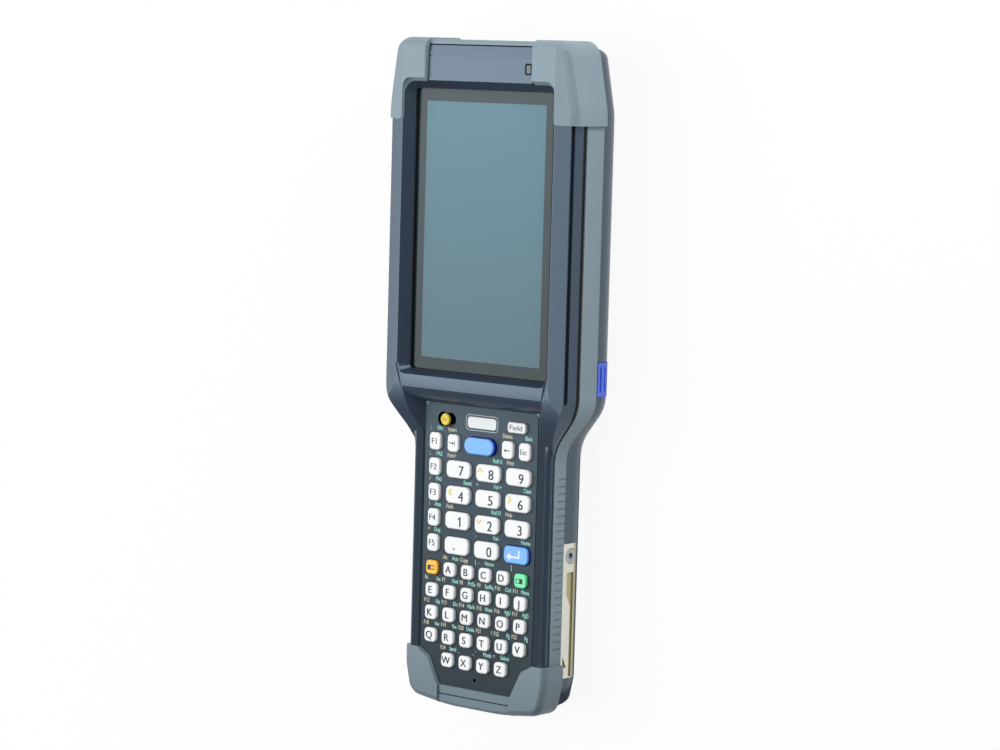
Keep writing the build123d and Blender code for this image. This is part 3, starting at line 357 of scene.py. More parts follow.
def blended(tree, factor, first, second):
    """Colour that goes from first to second with a factor socket; either may be a socket itself."""
    mix = add_node(tree, "Mix", {"data_type": "RGBA"}, {"Factor": factor})
    for socket, value in (("A", first), ("B", second)):
        if isinstance(value, bpy.types.NodeSocket):
            tree.links.new(value, mix.inputs[socket])
        else:
            mix.inputs[socket].default_value = value
    return mix.outputs["Result"]


def tinted(base, share, more=0.0):
    """Colour with this share of base in each channel, and a little more."""
    return [min(1.0, channel * share + more) for channel in base[:3]] + [1.0]


def mottled(tree, base, shift, size):
    """Faint uneven colour, as resin and paint have: base drifts by shift over patches of size."""
    return blended(tree, noise(tree, size, 2.0), tinted(base, 1 - shift), tinted(base, 1 + shift))


def step_along(tree, axis, edge, blur, distance=False):
    """Factor that goes from 0 to 1 where a coordinate passes edge, over a width of blur."""
    value = add_node(tree, "SeparateXYZ", None, {"Vector": place(tree)}).outputs[axis]
    if distance:
        value = add_node(tree, "Math", {"operation": "ABSOLUTE"}, {0: value}).outputs[0]
    ends = {"From Min": (edge - blur / 2) * MM, "From Max": (edge + blur / 2) * MM}
    return add_node(tree, "MapRange", ends, {"Value": value}).outputs["Result"]


def near_axis(tree, centre, radius, blur):
    """Factor that is 1 within radius of an upright line through centre, and 0 outside it."""
    level = {"operation": "MULTIPLY", 1: (1, 1, 0)}
    flat = add_node(tree, "VectorMath", level, {0: place(tree)}).outputs["Vector"]
    line = {"operation": "DISTANCE", 1: (centre[0] * MM, centre[1] * MM, 0)}
    away = add_node(tree, "VectorMath", line, {0: flat}).outputs["Value"]
    ends = {"From Min": (radius + blur / 2) * MM, "From Max": (radius - blur / 2) * MM}
    return add_node(tree, "MapRange", ends, {"Value": away}).outputs["Result"]


def paint(tree, shader, source):
    """Link a colour to the shader's base."""
    tree.links.new(source, shader.inputs["Base Color"])


def even_finish(name, base, drift, patch, grit, depth, roughness, spread=0.05, **sockets):
    """Finish of one colour that drifts over patches, with a grain of grit size and depth."""
    material, tree, shader = start_material(name, **sockets)
    paint(tree, shader, mottled(tree, base, drift, patch))
    grain(tree, shader, grit, depth, roughness, spread)
    return material


def moulded_pc_abs(name, base):
    """Housing moulding."""
    # PC/ABS from a spark-eroded mould: an even satin grit that spreads the lamps into a wide,
    # soft sheen. The grit is really 0.1 mm; it is drawn at 0.4 mm so that it shows at all.
    material, tree, shader = start_material(
        name, IOR=1.57, Specular_IOR_Level=0.75, Specular_Tint=SHEEN_TINT
    )
    # The narrow ledges beside the keys are painted darker, as painted shade on them, and they are left coarse
    # for grip, so they stay dull.
    head = step_along(tree, "Y", edge=LEDGE_END, blur=2)
    flank = step_along(tree, "X", edge=LEDGE_EDGE, blur=0.9, distance=True)
    smooth = add_node(tree, "Math", {"operation": "MAXIMUM"}, {0: head, 1: flank}).outputs[0]
    satin_colour = mottled(tree, base, shift=0.06, size=11)
    # Painted shade: off the ledges the base colour is kept, and on the ledges it is darkened.
    paint(tree, shader, blended(tree, smooth, tinted(base, 0.45), satin_colour))
    satin = grain(tree, shader, size=0.4, depth=0.007, roughness=0.32, spread=0.04)
    coarse = add_node(tree, "MapRange", {"To Min": 0.9, "To Max": 0.0}, {"Value": smooth})
    rough = add_node(
        tree, "Math", {"operation": "MAXIMUM"}, {0: satin, 1: coarse.outputs["Result"]}
    )
    tree.links.new(rough.outputs[0], shader.inputs["Roughness"])
    return material


def overmoulded_tpe(name, base):
    """Rubber bumper and rail."""
    # Thermoplastic elastomer moulded over the shell: matt and slightly chalky, with a faint
    # pale sheen at grazing angles and a skin of fine pores.
    material, tree, shader = start_material(
        name, IOR=1.5, Specular_IOR_Level=0.5, Specular_Tint=SHEEN_TINT,
        Sheen_Weight=0.08, Sheen_Roughness=0.5,
    )
    # Painted shade: the grip's end is painted a shade darker, for light that falls off towards that end.
    outside_painted_shade = step_along(tree, "Y", edge=-92, blur=34)
    paint(tree, shader, blended(tree, outside_painted_shade, tinted(base, 0.62), mottled(tree, base, shift=0.05, size=7)))
    grain(tree, shader, size=0.55, depth=0.01, roughness=0.48)
    return material


def moulded_silicone(name, base):
    """Soft silicone rubber."""
    # Pressed silicone: soft, dull and dark, with only a broad low highlight.
    return even_finish(
        name, base, drift=0.1, patch=4, grit=0.6, depth=0.015, roughness=0.6,
        IOR=1.41, Specular_IOR_Level=0.35,
    )


def printed_glass(name, screen, border):
    """Cover glass over the display."""
    # Chemically toughened soda-lime glass, polished: a clean mirror-like gloss over the grey-blue
    # display, and an opaque ink border printed on its underside. Faint wiping marks vary the gloss.
    material, tree, shader = start_material(name, IOR=1.52, Specular_IOR_Level=0.2)
    middle = node_middle("touch_glass")[1]
    side = step_along(tree, "X", LIT_HALF[0], PRINT_EDGE, distance=True)
    foot = step_along(tree, "Y", middle - LIT_HALF[1], PRINT_EDGE)
    head = step_along(tree, "Y", middle + LIT_HALF[1], PRINT_EDGE)
    between = add_node(tree, "Math", {"operation": "SUBTRACT"}, {0: foot, 1: head}).outputs[0]
    clamped = {"operation": "SUBTRACT", "use_clamp": True}
    inside = add_node(tree, "Math", clamped, {0: between, 1: side}).outputs[0]
    # The display and its border are painted paler towards the head, as a painted reflection.
    painted_reflection_ramp = step_along(tree, "Y", edge=middle, blur=2 * LIT_HALF[1])
    display = blended(tree, painted_reflection_ramp, tinted(screen, 0.95), tinted(screen, 1.45))
    edge = blended(tree, painted_reflection_ramp, tinted(border, 0.8), tinted(border, 1.0, more=0.03))
    paint(tree, shader, blended(tree, inside, edge, display))
    wiping = noise(tree, size=24)
    marks = add_node(tree, "MapRange", {"To Min": 0.05, "To Max": 0.13}, {"Value": wiping})
    tree.links.new(marks.outputs["Result"], shader.inputs["Roughness"])
    return material


def textured_film(name, base):
    """Printed polycarbonate film of the keypad."""
    # Second-surface printed PC film with a velvet texture: low even gloss and a very fine tooth.
    # The cut edges and the wells under the keys are painted near black, as painted shade in those recesses.
    material, tree, shader = start_material(
        name, IOR=1.58, Specular_IOR_Level=0.22, Specular_Tint=SHEEN_TINT
    )
    top = step_along(tree, "Z", edge=PANEL_Z - 0.2, blur=0.1)
    # Painted shade: the lower rows are painted a shade deeper than the upper ones, for light that falls off
    # towards the grip.
    upper = step_along(tree, "Y", edge=-58, blur=100)
    shaded_lower_rows = mottled(tree, tinted(base, 0.6), shift=0.04, size=14)
    lighter_upper_rows = mottled(tree, tinted(base, 2.5), shift=0.04, size=14)
    rows = blended(tree, upper, shaded_lower_rows, lighter_upper_rows)
    paint(tree, shader, blended(tree, top, linear("#14181E"), rows))
    grain(tree, shader, size=0.35, depth=0.008, roughness=0.52)
    return material


def two_tone_key(name, top, side, level, roughness=0.34, axis="Z", band=0.5):
    """Key whose top is painted paler, as a painted highlight, and whose sides are painted darker, as painted
    shade.
    """
    # Hard-capped silicone: a clear lacquer over the top gives a smooth, slightly wet gloss. The top is
    # painted paler, as a painted highlight, and the sides darker, as painted shade.
    material, tree, shader = start_material(
        name, IOR=1.49, Specular_IOR_Level=0.3, Coat_Weight=0.2, Coat_Roughness=0.25
    )
    upper = step_along(tree, axis, level - band, 2 * band, distance=True)
    paint(tree, shader, blended(tree, upper, side, mottled(tree, top, shift=0.015, size=5)))
    grain(tree, shader, size=0.7, depth=0.004, roughness=roughness, spread=0.04)
    return material


def power_key(name, yellow):
    """Power key with its black skirt."""
    # The yellow cap is lacquered PC. The dish round its button is painted paler, as a painted highlight on
    # its rim, and the button in its middle a shade darker. Its skirt and flange are black and sink into the
    # dark well.
    material, tree, shader = start_material(
        name, IOR=1.49, Specular_IOR_Level=0.25, Coat_Weight=0.1, Coat_Roughness=0.3
    )
    x, y, level = node_middle("key_power")
    upper = step_along(tree, "Z", edge=level - 0.75, blur=0.15)
    highlight_ring = near_axis(tree, (x, y), radius=1.5, blur=0.2)
    button = near_axis(tree, (x, y), radius=0.9, blur=0.2)
    cap = blended(tree, button, blended(tree, highlight_ring, yellow, tinted(yellow, 1.35)), tinted(yellow, 0.8))
    paint(tree, shader, blended(tree, upper, linear("#0B0C0E"), cap))
    grain(tree, shader, size=0.5, depth=0.004, roughness=0.25)
    return material


def metallic_paint(name, base, sunk_shade, face):
    """Side plate paint."""
    # Sprayed metallic lacquer: tiny flakes sparkle in a satin coat. The sunk areas are painted a darker
    # olive, as painted shade in those recesses. Flakes are really 0.03 mm; they are drawn at 0.2 mm so that
    # they show.
    material, tree, shader = start_material(name, IOR=1.5, Metallic=0.6)
    raised = step_along(tree, "X", edge=face - 0.15, blur=0.1, distance=True)
    flakes = add_node(tree, "TexVoronoi", {"Scale": 1 / (0.2 * MM)}, {"Vector": place(tree)})
    sparkle = blended(tree, flakes.outputs["Color"], tinted(base, 0.9), base)
    paint(tree, shader, blended(tree, raised, sunk_shade, sparkle))
    grain(tree, shader, size=0.5, depth=0.006, roughness=0.38)
    return material


def turned_steel(name, base, roughness=0.28):
    """Steel screw or spring."""
    # Zinc-plated, turned steel: bright and slightly streaked by the tool.
    return even_finish(
        name, base, drift=0.08, patch=1.2, grit=0.3, depth=0.005, roughness=roughness, spread=0.08,
        Metallic=1.0,
    )


def gold_plate(name):
    """Gold-plated contact."""
    # Hard gold over nickel: warm, bright and faintly scuffed where the dock's pins wipe it.
    gold = linear("#E2B85A")
    return even_finish(
        name, gold, drift=0.06, patch=0.8, grit=0.25, depth=0.003, roughness=0.22, spread=0.08, Metallic=1.0
    )


def solder_mask(name):
    """Circuit board."""
    # Glass-epoxy board under green solder mask: glossy, with copper runs showing as paler lines.
    material, tree, shader = start_material(name, IOR=1.55, Coat_Weight=0.4)
    lines = {"Scale": 1 / (3 * MM), "Mortar Size": 0.06}
    runs = add_node(tree, "TexBrick", lines, {"Vector": place(tree)}).outputs["Fac"]
    paint(tree, shader, blended(tree, runs, linear("#12502C"), linear("#2C7A45")))
    grain(tree, shader, size=0.8, depth=0.01, roughness=0.35)
    return material


def cast_magnesium(name):
    """Inner tray."""
    # Die-cast magnesium, as cast: dull, grey and faintly cloudy.
    grey = linear("#9A9CA0")
    return even_finish(name, grey, drift=0.12, patch=6, grit=0.7, depth=0.03, roughness=0.55, Metallic=0.85)


def smoked_window(name):
    """Scan window and camera lens."""
    # Optical-grade dyed polycarbonate: deep wine-black with a hard, clean gloss.
    return even_finish(
        name, linear("#1C0E14"), drift=0.15, patch=6, grit=3, depth=0.004, roughness=0.08, spread=0.02,
        IOR=1.58, Coat_Weight=0.6, Coat_Roughness=0.03,
    )


def black_moulding(name, roughness=0.45, gloss=0.4):
    """Black engineering plastic."""
    # Glass-filled nylon or LCP, moulded black: dull with a faint fibre mottle.
    return even_finish(
        name, linear("#16181B"), drift=0.2, patch=2, grit=0.5, depth=0.012, roughness=roughness,
        IOR=1.53, Specular_IOR_Level=gloss,
    )


def camera_plastics(name):
    """Camera barrel, its lens and the flash."""
    # Black anodised-look barrel; the lens in its middle is coated glass with a deep blue cast,
    # and the flash is a milky diffuser.
    material, tree, shader = start_material(name, IOR=1.53, Coat_Weight=0.3, Coat_Roughness=0.08)
    barrel = mottled(tree, linear("#141619"), shift=0.2, size=2)
    lens = blended(tree, near_axis(tree, REAR_CAMERA, radius=2.4, blur=0.1), barrel, linear("#0A1230"))
    flash = near_axis(tree, REAR_FLASH, radius=2.0, blur=0.1)
    paint(tree, shader, blended(tree, flash, lens, linear("#D9DAC8")))
    grain(tree, shader, size=0.6, depth=0.006, roughness=0.25)
    return material


def satin_lens(name, base):
    """Pale translucent lens."""
    # Frosted acrylic light guide: even, milky and satin.
    return even_finish(
        name, base, drift=0.03, patch=3, grit=0.5, depth=0.006, roughness=0.3,
        IOR=1.49, Coat_Weight=0.2, Coat_Roughness=0.2,
    )


def display_module(name):
    """Back of the display."""
    # Stamped and blackened steel frame round the liquid crystal sandwich.
    dark = linear("#3A4248")
    return even_finish(name, dark, drift=0.1, patch=8, grit=0.6, depth=0.01, roughness=0.35, Metallic=0.4)


def printed_ink(name, base):
    """Printed legend."""
    # Two-part printing ink, 0.02 mm thick: flat and matt, a little thin at the edges.
    return even_finish(
        name, base, drift=0.06, patch=0.9, grit=0.3, depth=0.003, roughness=0.6,
        IOR=1.5, Specular_IOR_Level=0.25,
    )


def finish_nodes(nodes, material):
    """Give CAD nodes a material in every slot."""
    for name in nodes:
        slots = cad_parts[name].data.materials
        slots.clear()
        slots.append(material)


# ---- modelling ----


def fresh():
    """Select nothing."""
    bpy.ops.object.select_all(action="DESELECT")


def choose(pieces):
    """Select only these pieces, the first of them active."""
    fresh()
    for piece in pieces:
        piece.select_set(True)
    bpy.context.view_layer.objects.active = pieces[0]


def open_mesh(piece, action="SELECT"):
    """Edit this piece's mesh, with all or nothing of it selected."""
    choose([piece])
    bpy.ops.object.mode_set(mode="EDIT")
    bpy.ops.mesh.select_mode(type="FACE")
    bpy.ops.mesh.select_all(action=action)


def close_mesh():
    """Leave edit mode."""
    bpy.ops.object.mode_set(mode="OBJECT")


def settle(piece):
    """Put the piece's place, turn and size into its mesh."""
    choose([piece])
    bpy.ops.object.transform_apply()


def set_down(piece, x, y, turn=0):
    """Turn a flat piece anticlockwise by turn degrees and move it to a point."""
    piece.rotation_euler.z = math.radians(turn)
    piece.location = (x * MM, y * MM, 0)
    settle(piece)
    return piece


def thicken(piece, thickness, offset=1.0):
    """Give a flat piece real thickness."""
    choose([piece])
    bpy.ops.object.modifier_add(type="SOLIDIFY")
    modifier = piece.modifiers[-1]
    modifier.thickness = thickness * MM
    modifier.offset = offset
    bpy.ops.object.modifier_apply(modifier=modifier.name)


def finished(piece, name, material, body):
    """Name a piece, give it its material and body."""
    piece.name = name
    piece.data.name = name
    piece.data.materials.clear()
    piece.data.materials.append(material)
    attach(piece, body)


def join(pieces):
    """Join pieces into the first one."""
    choose(pieces)
    if len(pieces) > 1:
        bpy.ops.object.join()
    return bpy.context.object


def text_mark(text, x, baseline, height, align="CENTER", width=1.0, weight=0.0):
    """Flat word whose foot is on the baseline; weight thickens it with a second copy to the right."""
    fresh()
    bpy.ops.object.text_add()
    mark = bpy.context.object
    mark.data.body = text
    mark.data.resolution_u = 6
    bpy.ops.object.convert(target="MESH")
    mark = bpy.context.object
    scale = height / CAP_HEIGHT * MM
    mark.scale = (scale * width, scale, 1)
    settle(mark)
    reach = [vertex.co.x for vertex in mark.data.vertices]
    edges = {"LEFT": min(reach), "CENTER": (min(reach) + max(reach)) / 2, "RIGHT": max(reach)}
    mark.location = (x * MM - edges[align] - weight * MM / 2, baseline * MM, 0)
    settle(mark)
    choose([mark])
    bpy.ops.object.duplicate()
    again = bpy.context.object
    again.location = (weight * MM, 0, LIFT * MM / 2)
    settle(again)
    return join([mark, again])


def bar_mark(x, y, wide, high, turn=0):
    """Flat bar centred on a point and turned by turn degrees."""
    fresh()
    bpy.ops.mesh.primitive_plane_add(size=1)
    mark = bpy.context.object
    mark.scale = (wide * MM, high * MM, 1)
    settle(mark)
    return set_down(mark, x, y, turn)


def head_mark(x, y, wide, long, turn):
    """Flat arrow head that points up before it is turned."""
    fresh()
    bpy.ops.mesh.primitive_circle_add(vertices=3, radius=1, fill_type="NGON")
    mark = bpy.context.object
    mark.scale = (wide / math.sqrt(3) * MM, long / 1.5 * MM, 1)
    settle(mark)
    return set_down(mark, x, y, turn)


def chevron_mark(x, y, wide, long, band, turn):
    """Open arrow head that points up before it is turned."""
    slant = math.degrees(math.atan2(long, wide / 2))
    arm = math.hypot(long, wide / 2)
    left = bar_mark(-wide / 4, 0, arm, band, slant)
    right = bar_mark(wide / 4, 0, arm, band, -slant)
    right.location.z = LIFT / 2 * MM
    settle(right)
    return set_down(join([left, right]), x, y, turn)


def turn_up(piece):
    """Flip the faces of a flat piece that point down."""
    open_mesh(piece, "DESELECT")
    close_mesh()
    for face in piece.data.polygons:
        face.select = face.normal.z < 0
    bpy.ops.object.mode_set(mode="EDIT")
    bpy.ops.mesh.flip_normals()
    close_mesh()


def printed(marks, name, top, ink, body):
    """Join marks into one print of real thickness on a surface at height top."""
    for i, mark in enumerate(marks):
        mark.location.z = i % 3 * LIFT * MM
        settle(mark)
    piece = join(marks)
    open_mesh(piece)
    bpy.ops.mesh.remove_doubles(threshold=MERGE * MM)
    close_mesh()
    turn_up(piece)
    thicken(piece, INK_THICKNESS)
    piece.location.z = (top - INK_SINK) * MM
    settle(piece)
    finished(piece, name, ink, body)


def rounded_frame(centre, wide, high, radius, band, z, thick, corners=5):
    """Flat frame with rounded corners: its outer size, the width of its band and its thickness."""
    fresh()
    bpy.ops.mesh.primitive_plane_add(size=1, location=(centre[0] * MM, centre[1] * MM, z * MM))
    piece = bpy.context.object
    piece.scale = (wide * MM, high * MM, 1)
    settle(piece)
    open_mesh(piece)
    bpy.ops.mesh.bevel(offset=radius * MM, segments=corners, affect="VERTICES")
    bpy.ops.mesh.select_all(action="SELECT")
    bpy.ops.mesh.inset(thickness=band * MM)
    bpy.ops.mesh.delete(type="FACE")
    close_mesh()
    thicken(piece, thick)
    return piece


def node_middle(node):
    """Middle of a CAD node and the height of its top, in millimetres."""
    low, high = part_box(node)
    return (low.x + high.x) / 2 / MM, (low.y + high.y) / 2 / MM, high.z / MM


def node_size(node):
    """Width and length of a CAD node, in millimetres."""
    low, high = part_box(node)
    return (high.x - low.x) / MM, (high.y - low.y) / MM


class TERMINAL_OT_housings(bpy.types.Operator):
    """Finish the shells, the rubber and the panel under the keys."""

    bl_idname = "terminal.housings"
    bl_label = "Housings"

    def execute(self, context):
        colours = context.scene.terminal_colours
        finish_nodes(["front_housing"], moulded_pc_abs("spark_moulded_pc_abs_slate", colours.housing))
        dark = moulded_pc_abs("spark_moulded_pc_abs_dark", colours.rear)
        finish_nodes(["rear_housing", "battery_pack"], dark)
        rubber = overmoulded_tpe("overmoulded_tpe_grey", colours.rubber)
        finish_nodes(["top_bumper", "bottom_bumper", "side_rail_right", "side_rail_left"], rubber)
        finish_nodes(["perimeter_seal"], moulded_silicone("pressed_silicone_black", linear("#14171B")))
        finish_nodes(["keypad_panel"], textured_film("velvet_pc_film", colours.panel))
        return {"FINISHED"}


class TERMINAL_OT_display(bpy.types.Operator):
    """Finish the cover glass and set a black band round it, as painted shade on the wall round the glass."""

    bl_idname = "terminal.display"
    bl_label = "Display"

    def execute(self, context):
        colours = context.scene.terminal_colours
        glass = printed_glass("toughened_glass_printed", colours.screen, colours.border)
        finish_nodes(["touch_glass"], glass)
        finish_nodes(["lcd_module"], display_module("blackened_steel_display_frame"))
        x, y, top = node_middle("touch_glass")
        wide, long = (side + GLASS_ROOM for side in node_size("touch_glass"))
        band = GLASS_ROOM / 2 + context.scene.terminal_sizes.gasket / MM
        # A black band round the glass: a dark piece set as painted shade on the wall beside it.
        gasket = rounded_frame((x, y), wide, long, GLASS_CORNER, band, top + SHADE_BAND_LIFT, SHADE_BAND_HEIGHT)
        shade_black = moulded_silicone("painted_shade_black", linear("#0E1116"))
        finished(gasket, "display_shade_band", shade_black, HOME)
        return {"FINISHED"}


class TERMINAL_OT_keys(bpy.types.Operator):
    """Finish the keys and the side buttons."""

    bl_idname = "terminal.keys"
    bl_label = "Keys"

    def execute(self, context):
        colours = context.scene.terminal_colours
        # Each key's top is painted paler and its sides darker: painted highlight and painted shade.
        tones = {
            "key_scan": (colours.blue, colours.blue_side),
            "key_enter": (colours.blue, colours.blue_side),
            "key_orange": (colours.orange, colours.orange_side),
            "key_green": (colours.green, colours.green_side),
        }
        level = node_middle("key_5")[2]
        white = two_tone_key("lacquered_silicone_white", colours.white_key, colours.white_side, level)
        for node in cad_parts:
            if node.startswith(("key_", "keys_")):
                finish_nodes([node], white)
        for node, (top, side) in tones.items():
            finish_nodes([node], two_tone_key("lacquered_" + node, top, side, node_middle(node)[2]))
        finish_nodes(["key_power"], power_key("lacquered_key_power", colours.yellow))
        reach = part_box("scan_button_right")[1].x / MM
        # The buttons' outer faces are painted paler, as painted highlight, and the rest darker, as painted
        # shade.
        button = two_tone_key("moulded_tpe_blue", colours.blue_button, colours.blue_side, reach, 0.42, "X")
        finish_nodes(["scan_button_right", "scan_button_left"], button)
        finish_nodes(["keypad_mat"], moulded_silicone("silicone_keypad_mat", linear("#3E4144")))
        return {"FINISHED"}


class TERMINAL_OT_key_legends(bpy.types.Operator):
    """Print the letters, digits, F numbers, arrows and symbols on the keys."""

    bl_idname = "terminal.key_legends"
    bl_label = "Key legends"

    def execute(self, context):
        colours = context.scene.terminal_colours
        sizes = context.scene.terminal_sizes
        dark = printed_ink("pad_print_dark", colours.print_dark)
        arrow_ink = printed_ink("pad_print_arrow", colours.print_arrow)
        white = printed_ink("pad_print_white", linear("#F2F8FF"))
        self.print_letters(sizes.letter_height / MM, dark)
        self.print_digits(sizes.digit_height / MM, dark)
        for digit, turn in ARROW_TURNS.items():
            node = "key_%d" % digit
            x, y = node_middle(node)[:2]
            arrow = chevron_mark(x + ARROW_PLACE[0], y + ARROW_PLACE[1], *ARROW_SIZE, turn)
            self.print_key([arrow], node, arrow_ink, "arrow_")
        for node, marks in KEY_SYMBOLS.items():
            self.print_symbol(node, marks, white if node == "key_enter" else dark)
        high = sizes.function_height / MM
        for number in range(1, 6):
            node = "key_f%d" % number
            text = "F%d" % number
            self.print_word(node, text, FUNCTION_RIGHT, -high / 2, high, FUNCTION_FACE, dark)
        for node, (text, right, up, high, face) in KEY_TEXTS.items():
            self.print_word(node, text, right, up, high, face, dark)
        return {"FINISHED"}

    def print_letters(self, high, ink):
        """Letters on the rows of letter keys."""
        for node, (letters, first) in LETTER_ROWS.items():
            y = node_middle(node)[1]
            marks = []
            for i, letter in enumerate(letters):
                x = (first + i - MIDDLE_COLUMN) * LETTER_PITCH + LETTER_RIGHT
                marks.append(text_mark(letter, x, y - high / 2, high, **LETTER_FACE))
            self.print_key(marks, node, ink)

    def print_digits(self, high, ink):
        """Digits to the right of the number keys' middles, with a flag on the 1."""
        for digit in range(10):
            node = "key_%d" % digit
            x, y = node_middle(node)[:2]
            x += DIGIT_RIGHT
            y += DIGIT_UP
            marks = [text_mark(str(digit), x, y - high / 2, high, **DIGIT_FACE)]
            if digit == 1:
                right, up, *shape = FLAG
                marks.append(bar_mark(x + right, y + high / 2 + up, *shape))
            self.print_key(marks, node, ink)

    def print_symbol(self, node, marks, ink):
        """Symbol of bars and arrow heads on a key."""
        x, y = node_middle(node)[:2]
        makers = {"bar": bar_mark, "head": head_mark}
        flat = [makers[kind](x + right, y + up, *shape) for kind, right, up, *shape in marks]
        self.print_key(flat, node, ink)

    def print_word(self, node, text, right, up, high, face, ink):
        """One word on a key."""
        x, y = node_middle(node)[:2]
        self.print_key([text_mark(text, x + right, y + up, high, **face)], node, ink)

    def print_key(self, marks, node, ink, kind="legend_"):
        """Join marks into the print on a key's top."""
        printed(marks, kind + node, node_middle(node)[2], ink, node + "_body")


class TERMINAL_OT_panel_legends(bpy.types.Operator):
    """Print the small words on the keypad panel and the line round the silver window."""

    bl_idname = "terminal.panel_legends"
    bl_label = "Panel legends"

    def execute(self, context):
        colours = context.scene.terminal_colours
        sizes = context.scene.terminal_sizes
        words = {"amber": [], "teal": []}
        for node, pairs in LETTER_WORDS.items():
            first = LETTER_ROWS[node][1]
            for i, pair in enumerate(pairs):
                x = (first + i - MIDDLE_COLUMN) * LETTER_PITCH
                reach = (x + LETTER_REACH[0], x + LETTER_REACH[1])
                self.add_words(words, node, pair, reach, sizes.small_height / MM)
        for node, pair in KEY_WORDS.items():
            low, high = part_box(node)
            reach = (low.x / MM + FLANGE - WORD_OUT, high.x / MM - FLANGE)
            self.add_words(words, node, pair, reach, sizes.small_height / MM)
        for tone, tint in (("amber", colours.print_amber), ("teal", colours.print_teal)):
            ink = printed_ink("screen_print_" + tone, tint)
            printed(words[tone], "panel_words_" + tone, PANEL_Z, ink, HOME)
        middle = node_middle("indicator_window")[:2]
        band = sizes.ring_width / MM
        foot = PANEL_Z - INK_SINK
        ring = rounded_frame(
            middle, *WINDOW_RING, WINDOW_RING_RADIUS, band, foot, INK_THICKNESS, RING_CORNERS
        )
        line = printed_ink("screen_print_silver", linear("#AEB9BE"))
        finished(ring, "window_ring", line, HOME)
        finish_nodes(["indicator_window"], satin_lens("frosted_silver_lens", linear("#DFE4E6")))
        return {"FINISHED"}

    def add_words(self, words, node, pair, reach, high):
        """Amber word from the start of the reach above a key, teal word up to its end."""
        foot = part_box(node)[1].y / MM - FLANGE + WORD_LIFT
        for text, tone, x, side in zip(pair, ("amber", "teal"), reach, ("LEFT", "RIGHT")):
            if text:
                words[tone].append(text_mark(text, x, foot, high, side, **PANEL_FACE))


class TERMINAL_OT_status_light(bpy.types.Operator):
    """Finish the status light and set its black rim."""

    bl_idname = "terminal.status_light"
    bl_label = "Status light"

    def execute(self, context):
        finish_nodes(["status_led_lens"], satin_lens("frosted_grey_lens", linear("#38505C")))
        x, y, top = node_middle("status_led_lens")
        band = context.scene.terminal_sizes.light_rim / MM
        wide, long = (side + band for side in node_size("status_led_lens"))
        rim = rounded_frame((x, y), wide, long, RIM_CORNER, band, top - RIM_SINK, RIM_HEIGHT)
        black = black_moulding("moulded_rim_black", roughness=0.7, gloss=0.1)
        finished(rim, "status_light_rim", black, HOME)
        return {"FINISHED"}


class TERMINAL_OT_side_plates(bpy.types.Operator):
    """Finish the painted side plates and their screws."""

    bl_idname = "terminal.side_plates"
    bl_label = "Side plates"

    def execute(self, context):
        colours = context.scene.terminal_colours
        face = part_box("side_plate_right")[1].x / MM
        coat = metallic_paint("sprayed_metallic_pale", colours.plate, colours.plate_sunk, face)
        finish_nodes(["side_plate_right", "side_plate_left"], coat)
        steel = turned_steel("turned_steel_screws", linear("#A9ACAE"))
        finish_nodes(["side_screws", "housing_screws"], steel)
        return {"FINISHED"}


class TERMINAL_OT_ends_and_back(bpy.types.Operator):
    """Finish the scanning end, camera, speaker, battery latch and charging contacts."""

    bl_idname = "terminal.ends_and_back"
    bl_label = "Ends and back"

    def execute(self, context):
        finish_nodes(["scan_window"], smoked_window("smoked_polycarbonate"))
        finish_nodes(["scan_engine"], black_moulding("glass_filled_nylon_black", 0.4))
        finish_nodes(["speaker"], black_moulding("speaker_black", 0.5))
        finish_nodes(["camera"], camera_plastics("camera_black_and_glass"))
        finish_nodes(["battery_latch"], black_moulding("acetal_black", 0.35))
        finish_nodes(["latch_spring"], turned_steel("drawn_spring_steel", linear("#B4B6BA"), 0.22))
        self.press_spring()
        finish_nodes(["dock_connector"], black_moulding("lcp_black", 0.42))
        finish_nodes(["mainboard", "keypad_board"], solder_mask("green_solder_mask"))
        finish_nodes(["mid_frame"], cast_magnesium("die_cast_magnesium"))
        self.add_contacts(gold_plate("gold_plated_contact"))
        self.add_camera_glass(smoked_window("coated_lens_glass"))
        return {"FINISHED"}

    def press_spring(self):
        """Give the spring its own copy of its mesh."""
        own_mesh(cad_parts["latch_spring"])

    def add_contacts(self, gold):
        """Sprung blades in the slots of the charging connector."""
        blades = []
        for i in range(CONTACTS):
            fresh()
            x = (i - (CONTACTS - 1) / 2) * CONTACT_PITCH
            spot = (x * MM, CONTACT_Y * MM, CONTACT_Z * MM)
            bpy.ops.mesh.primitive_cube_add(size=1, location=spot)
            blade = bpy.context.object
            blade.scale = [side * MM for side in BLADE_SIZE]
            settle(blade)
            open_mesh(blade)
            bpy.ops.mesh.bevel(offset=BLADE_EDGE * MM, segments=3, affect="EDGES")
            close_mesh()
            blades.append(blade)
        finished(join(blades), "charging_contacts", gold, HOME)

    def add_camera_glass(self, glass):
        """Dished front element of the rear camera."""
        fresh()
        x, y = REAR_CAMERA
        bpy.ops.mesh.primitive_circle_add(
            vertices=40, radius=LENS_RADIUS * MM, fill_type="NGON", location=(x * MM, y * MM, LENS_Z * MM)
        )
        lens = bpy.context.object
        settle(lens)
        open_mesh(lens)
        for inset, drop in LENS_STEPS:
            bpy.ops.mesh.inset(thickness=inset * MM)
            bpy.ops.transform.translate(value=(0, 0, -drop * MM))
        bpy.ops.mesh.select_all(action="SELECT")
        bpy.ops.mesh.normals_make_consistent()
        close_mesh()
        if lens.data.polygons[0].normal.z > 0:
            bpy.ops.object.mode_set(mode="EDIT")
            bpy.ops.mesh.flip_normals()
            close_mesh()
        thicken(lens, LENS_WALL, offset=-1.0)
        bpy.ops.object.shade_smooth_by_angle()
        finished(lens, "camera_front_glass", glass, HOME)


